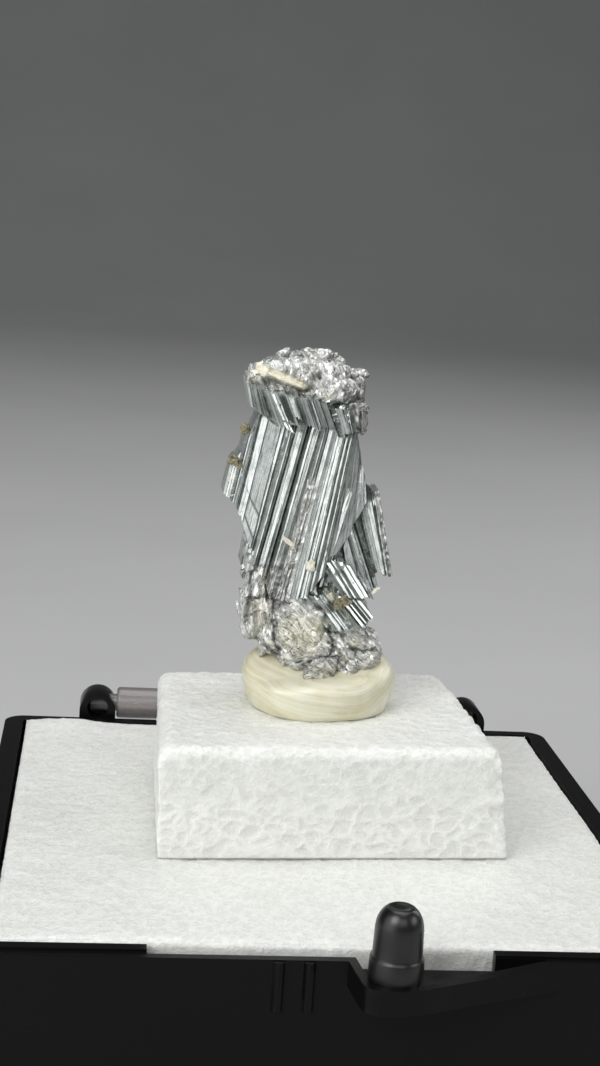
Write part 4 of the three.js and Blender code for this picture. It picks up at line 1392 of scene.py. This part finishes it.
# The latch post: where it stands, how far its skin is outside the CAD post, and its (radius, height) profile.
POST_PLACE = (1.95, -17.3)
POST_SKIN = 0.02
POST_PROFILE = [
    (0.0, 7.02), (1.14, 7.02), (1.135, 7.9), (1.12, 8.66), (1.1, 8.73), (1.04, 8.79), (1.025, 8.86),
    (1.01, 9.5), (0.995, 10.0), (0.97, 10.2), (0.92, 10.38), (0.84, 10.55), (0.74, 10.7), (0.62, 10.82),
    (0.52, 10.88), (0.44, 10.89), (0.36, 10.86), (0.24, 10.83), (0.12, 10.82), (0.0, 10.815),
]


def make_latch_post():
    """The latch post with its step and the dimple in its round top."""
    around = 64
    points, faces = [], []
    ring = POST_PROFILE[1:-1]
    for r, z in ring:
        for k in range(around):
            turn = 2 * math.pi * k / around
            points.append(((r + POST_SKIN) * math.cos(turn), (r + POST_SKIN) * math.sin(turn), z))
    for row in range(len(ring) - 1):
        for k in range(around):
            a, b = row * around + k, row * around + (k + 1) % around
            faces.append((a, b, b + around, a + around))
    foot, tip = len(points), len(points) + 1
    points += [(0, 0, POST_PROFILE[0][1]), (0, 0, POST_PROFILE[-1][1])]
    last = (len(ring) - 1) * around
    for k in range(around):
        faces.append((foot, (k + 1) % around, k))
        faces.append((tip, last + k, last + (k + 1) % around))
    post = new_piece("latch_post", points, faces, (*POST_PLACE, 0))
    turn_smooth(post, 50)
    return post


# Stage

FLOOR_REACH = 3000
FLOOR_BACK = 350
SWEEP_RADIUS = 250
SWEEP_STEPS = 12
WALL_TOP = 2000


def add_floor(material):
    """A pale floor that sweeps up far behind the object."""
    profile = [(-FLOOR_REACH, 0), (FLOOR_BACK, 0)]
    for i in range(1, SWEEP_STEPS + 1):
        turn = i / SWEEP_STEPS * math.pi / 2
        profile.append((FLOOR_BACK + SWEEP_RADIUS * math.sin(turn), SWEEP_RADIUS * (1 - math.cos(turn))))
    profile.append((FLOOR_BACK + SWEEP_RADIUS, WALL_TOP))
    points, faces = [], []
    for i, (y, z) in enumerate(profile):
        points += [(-FLOOR_REACH, y, z), (FLOOR_REACH, y, z)]
        if i:
            faces.append((2 * i - 2, 2 * i - 1, 2 * i + 1, 2 * i))
    floor = new_piece("floor", points, faces)
    turn_smooth(floor)
    give_material(floor, material)


def add_camera():
    """The camera of the photograph's view, placed by its yaw, pitch and roll."""
    forward = Vector((
        math.sin(CAMERA_YAW) * math.cos(CAMERA_PITCH),
        math.cos(CAMERA_YAW) * math.cos(CAMERA_PITCH),
        math.sin(CAMERA_PITCH),
    ))
    level_right = Vector((math.cos(CAMERA_YAW), -math.sin(CAMERA_YAW), 0))
    level_up = level_right.cross(forward)
    right = math.cos(CAMERA_ROLL) * level_right + math.sin(CAMERA_ROLL) * level_up
    up = math.cos(CAMERA_ROLL) * level_up - math.sin(CAMERA_ROLL) * level_right
    data = bpy.data.cameras.new("camera")
    data.lens = CAMERA_LENS
    data.sensor_width = 36
    data.clip_start = 0.001
    data.clip_end = 10
    camera = bpy.data.objects.new("camera", data)
    turn = Matrix((right, up, -forward)).transposed()
    camera.matrix_world = Matrix.Translation(CAMERA_PLACE * MM) @ turn.to_4x4()
    bpy.context.scene.collection.objects.link(camera)
    bpy.context.scene.camera = camera
    bpy.context.scene.view_settings.view_transform = "Standard"


# Soft lights: name, place, width and height, and the radiance of the face.
SOFTBOXES = [
    ("left", (-84, -48, 44), (80, 88), 1.35),
    ("half_left", (-58, -82, 44), (50, 88), 0.7),
    ("right", (150, -50, 85), (90, 60), 3.2),
    ("key", (-170, -190, 240), (170, 170), 6),
    ("top", (20, 30, 300), (260, 220), 2.3),
    ("front", (40, -300, 230), (240, 170), 1.65),
    ("rim", (190, 130, 120), (60, 160), 3),
]
LIGHT_TARGET = Vector((0, 1.5, 20))


def add_softbox(name, place, size, brightness):
    """A rectangular soft light that faces the stone."""
    data = bpy.data.lights.new(name, "AREA")
    data.shape = "RECTANGLE"
    data.size, data.size_y = size[0] * MM, size[1] * MM
    data.energy = brightness * math.pi * data.size * data.size_y
    light = bpy.data.objects.new(name, data)
    light.location = Vector(place) * MM
    light.visible_camera = False
    light.rotation_euler = (LIGHT_TARGET - Vector(place)).to_track_quat("-Z", "Y").to_euler()
    bpy.context.scene.collection.objects.link(light)


def add_world(colour, strength):
    """Even light from all sides."""
    world = bpy.data.worlds.new("studio")
    world.use_nodes = True
    background = world.node_tree.nodes["Background"]
    background.inputs["Color"].default_value = (*colour, 1)
    background.inputs["Strength"].default_value = strength
    bpy.context.scene.world = world


def add_fine_pieces():
    """The pieces that take the place of CAD nodes, and the skin of the latch post."""
    stone = make_stone()
    putty = make_putty(stone)
    finish_piece(stone, ["bournonite"], metal_material())
    finish_piece(putty, ["putty"], putty_material())
    finish_piece(make_foam_block(), ["foam_block"], foam_material("foam_block_white", 1.0))
    # The liner's foam is a darker copy of the block's, as painted shade, because the lamps light it more.
    finish_piece(make_foam_liner(), ["foam_liner"], foam_material("foam_liner_white", 0.93))
    looks = {
        "pale": (grain_material("pale_mineral", (0.66, 0.62, 0.48), (0.9, 0.88, 0.76)), "pale_grain"),
        "brown": (grain_material("brown_mineral", (0.05, 0.042, 0.022), (0.4, 0.36, 0.23)), "brown_grain"),
    }
    for i, (name, centre, radii, turn, look) in enumerate(GRAINS):
        material, slot_name = looks[look]
        rugged = 1.2 if look == "brown" else 0.4
        finish_piece(make_grain(name, centre, radii, turn, i * 3.1, rugged), [name], material)
    finish_piece(make_latch_post(), [], box_material("black_plastic_post", 0.6, 0.28))


def finish_box():
    """The box base and the hinge rod, which stay the CAD's own."""
    plastic = box_material("black_plastic", 0.14, 0.12)
    for name, material, width in (("box_base", plastic, 0.1), ("hinge_rod", clear_material(), 0.04)):
        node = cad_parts[name]
        give_material(node, material)
        soften_edges(node, width)


def main():
    add_fine_pieces()
    finish_box()
    add_floor(floor_material())
    add_camera()
    for row in SOFTBOXES:
        add_softbox(*row)
    add_world((0.9, 0.95, 1.0), 0.06)


main()
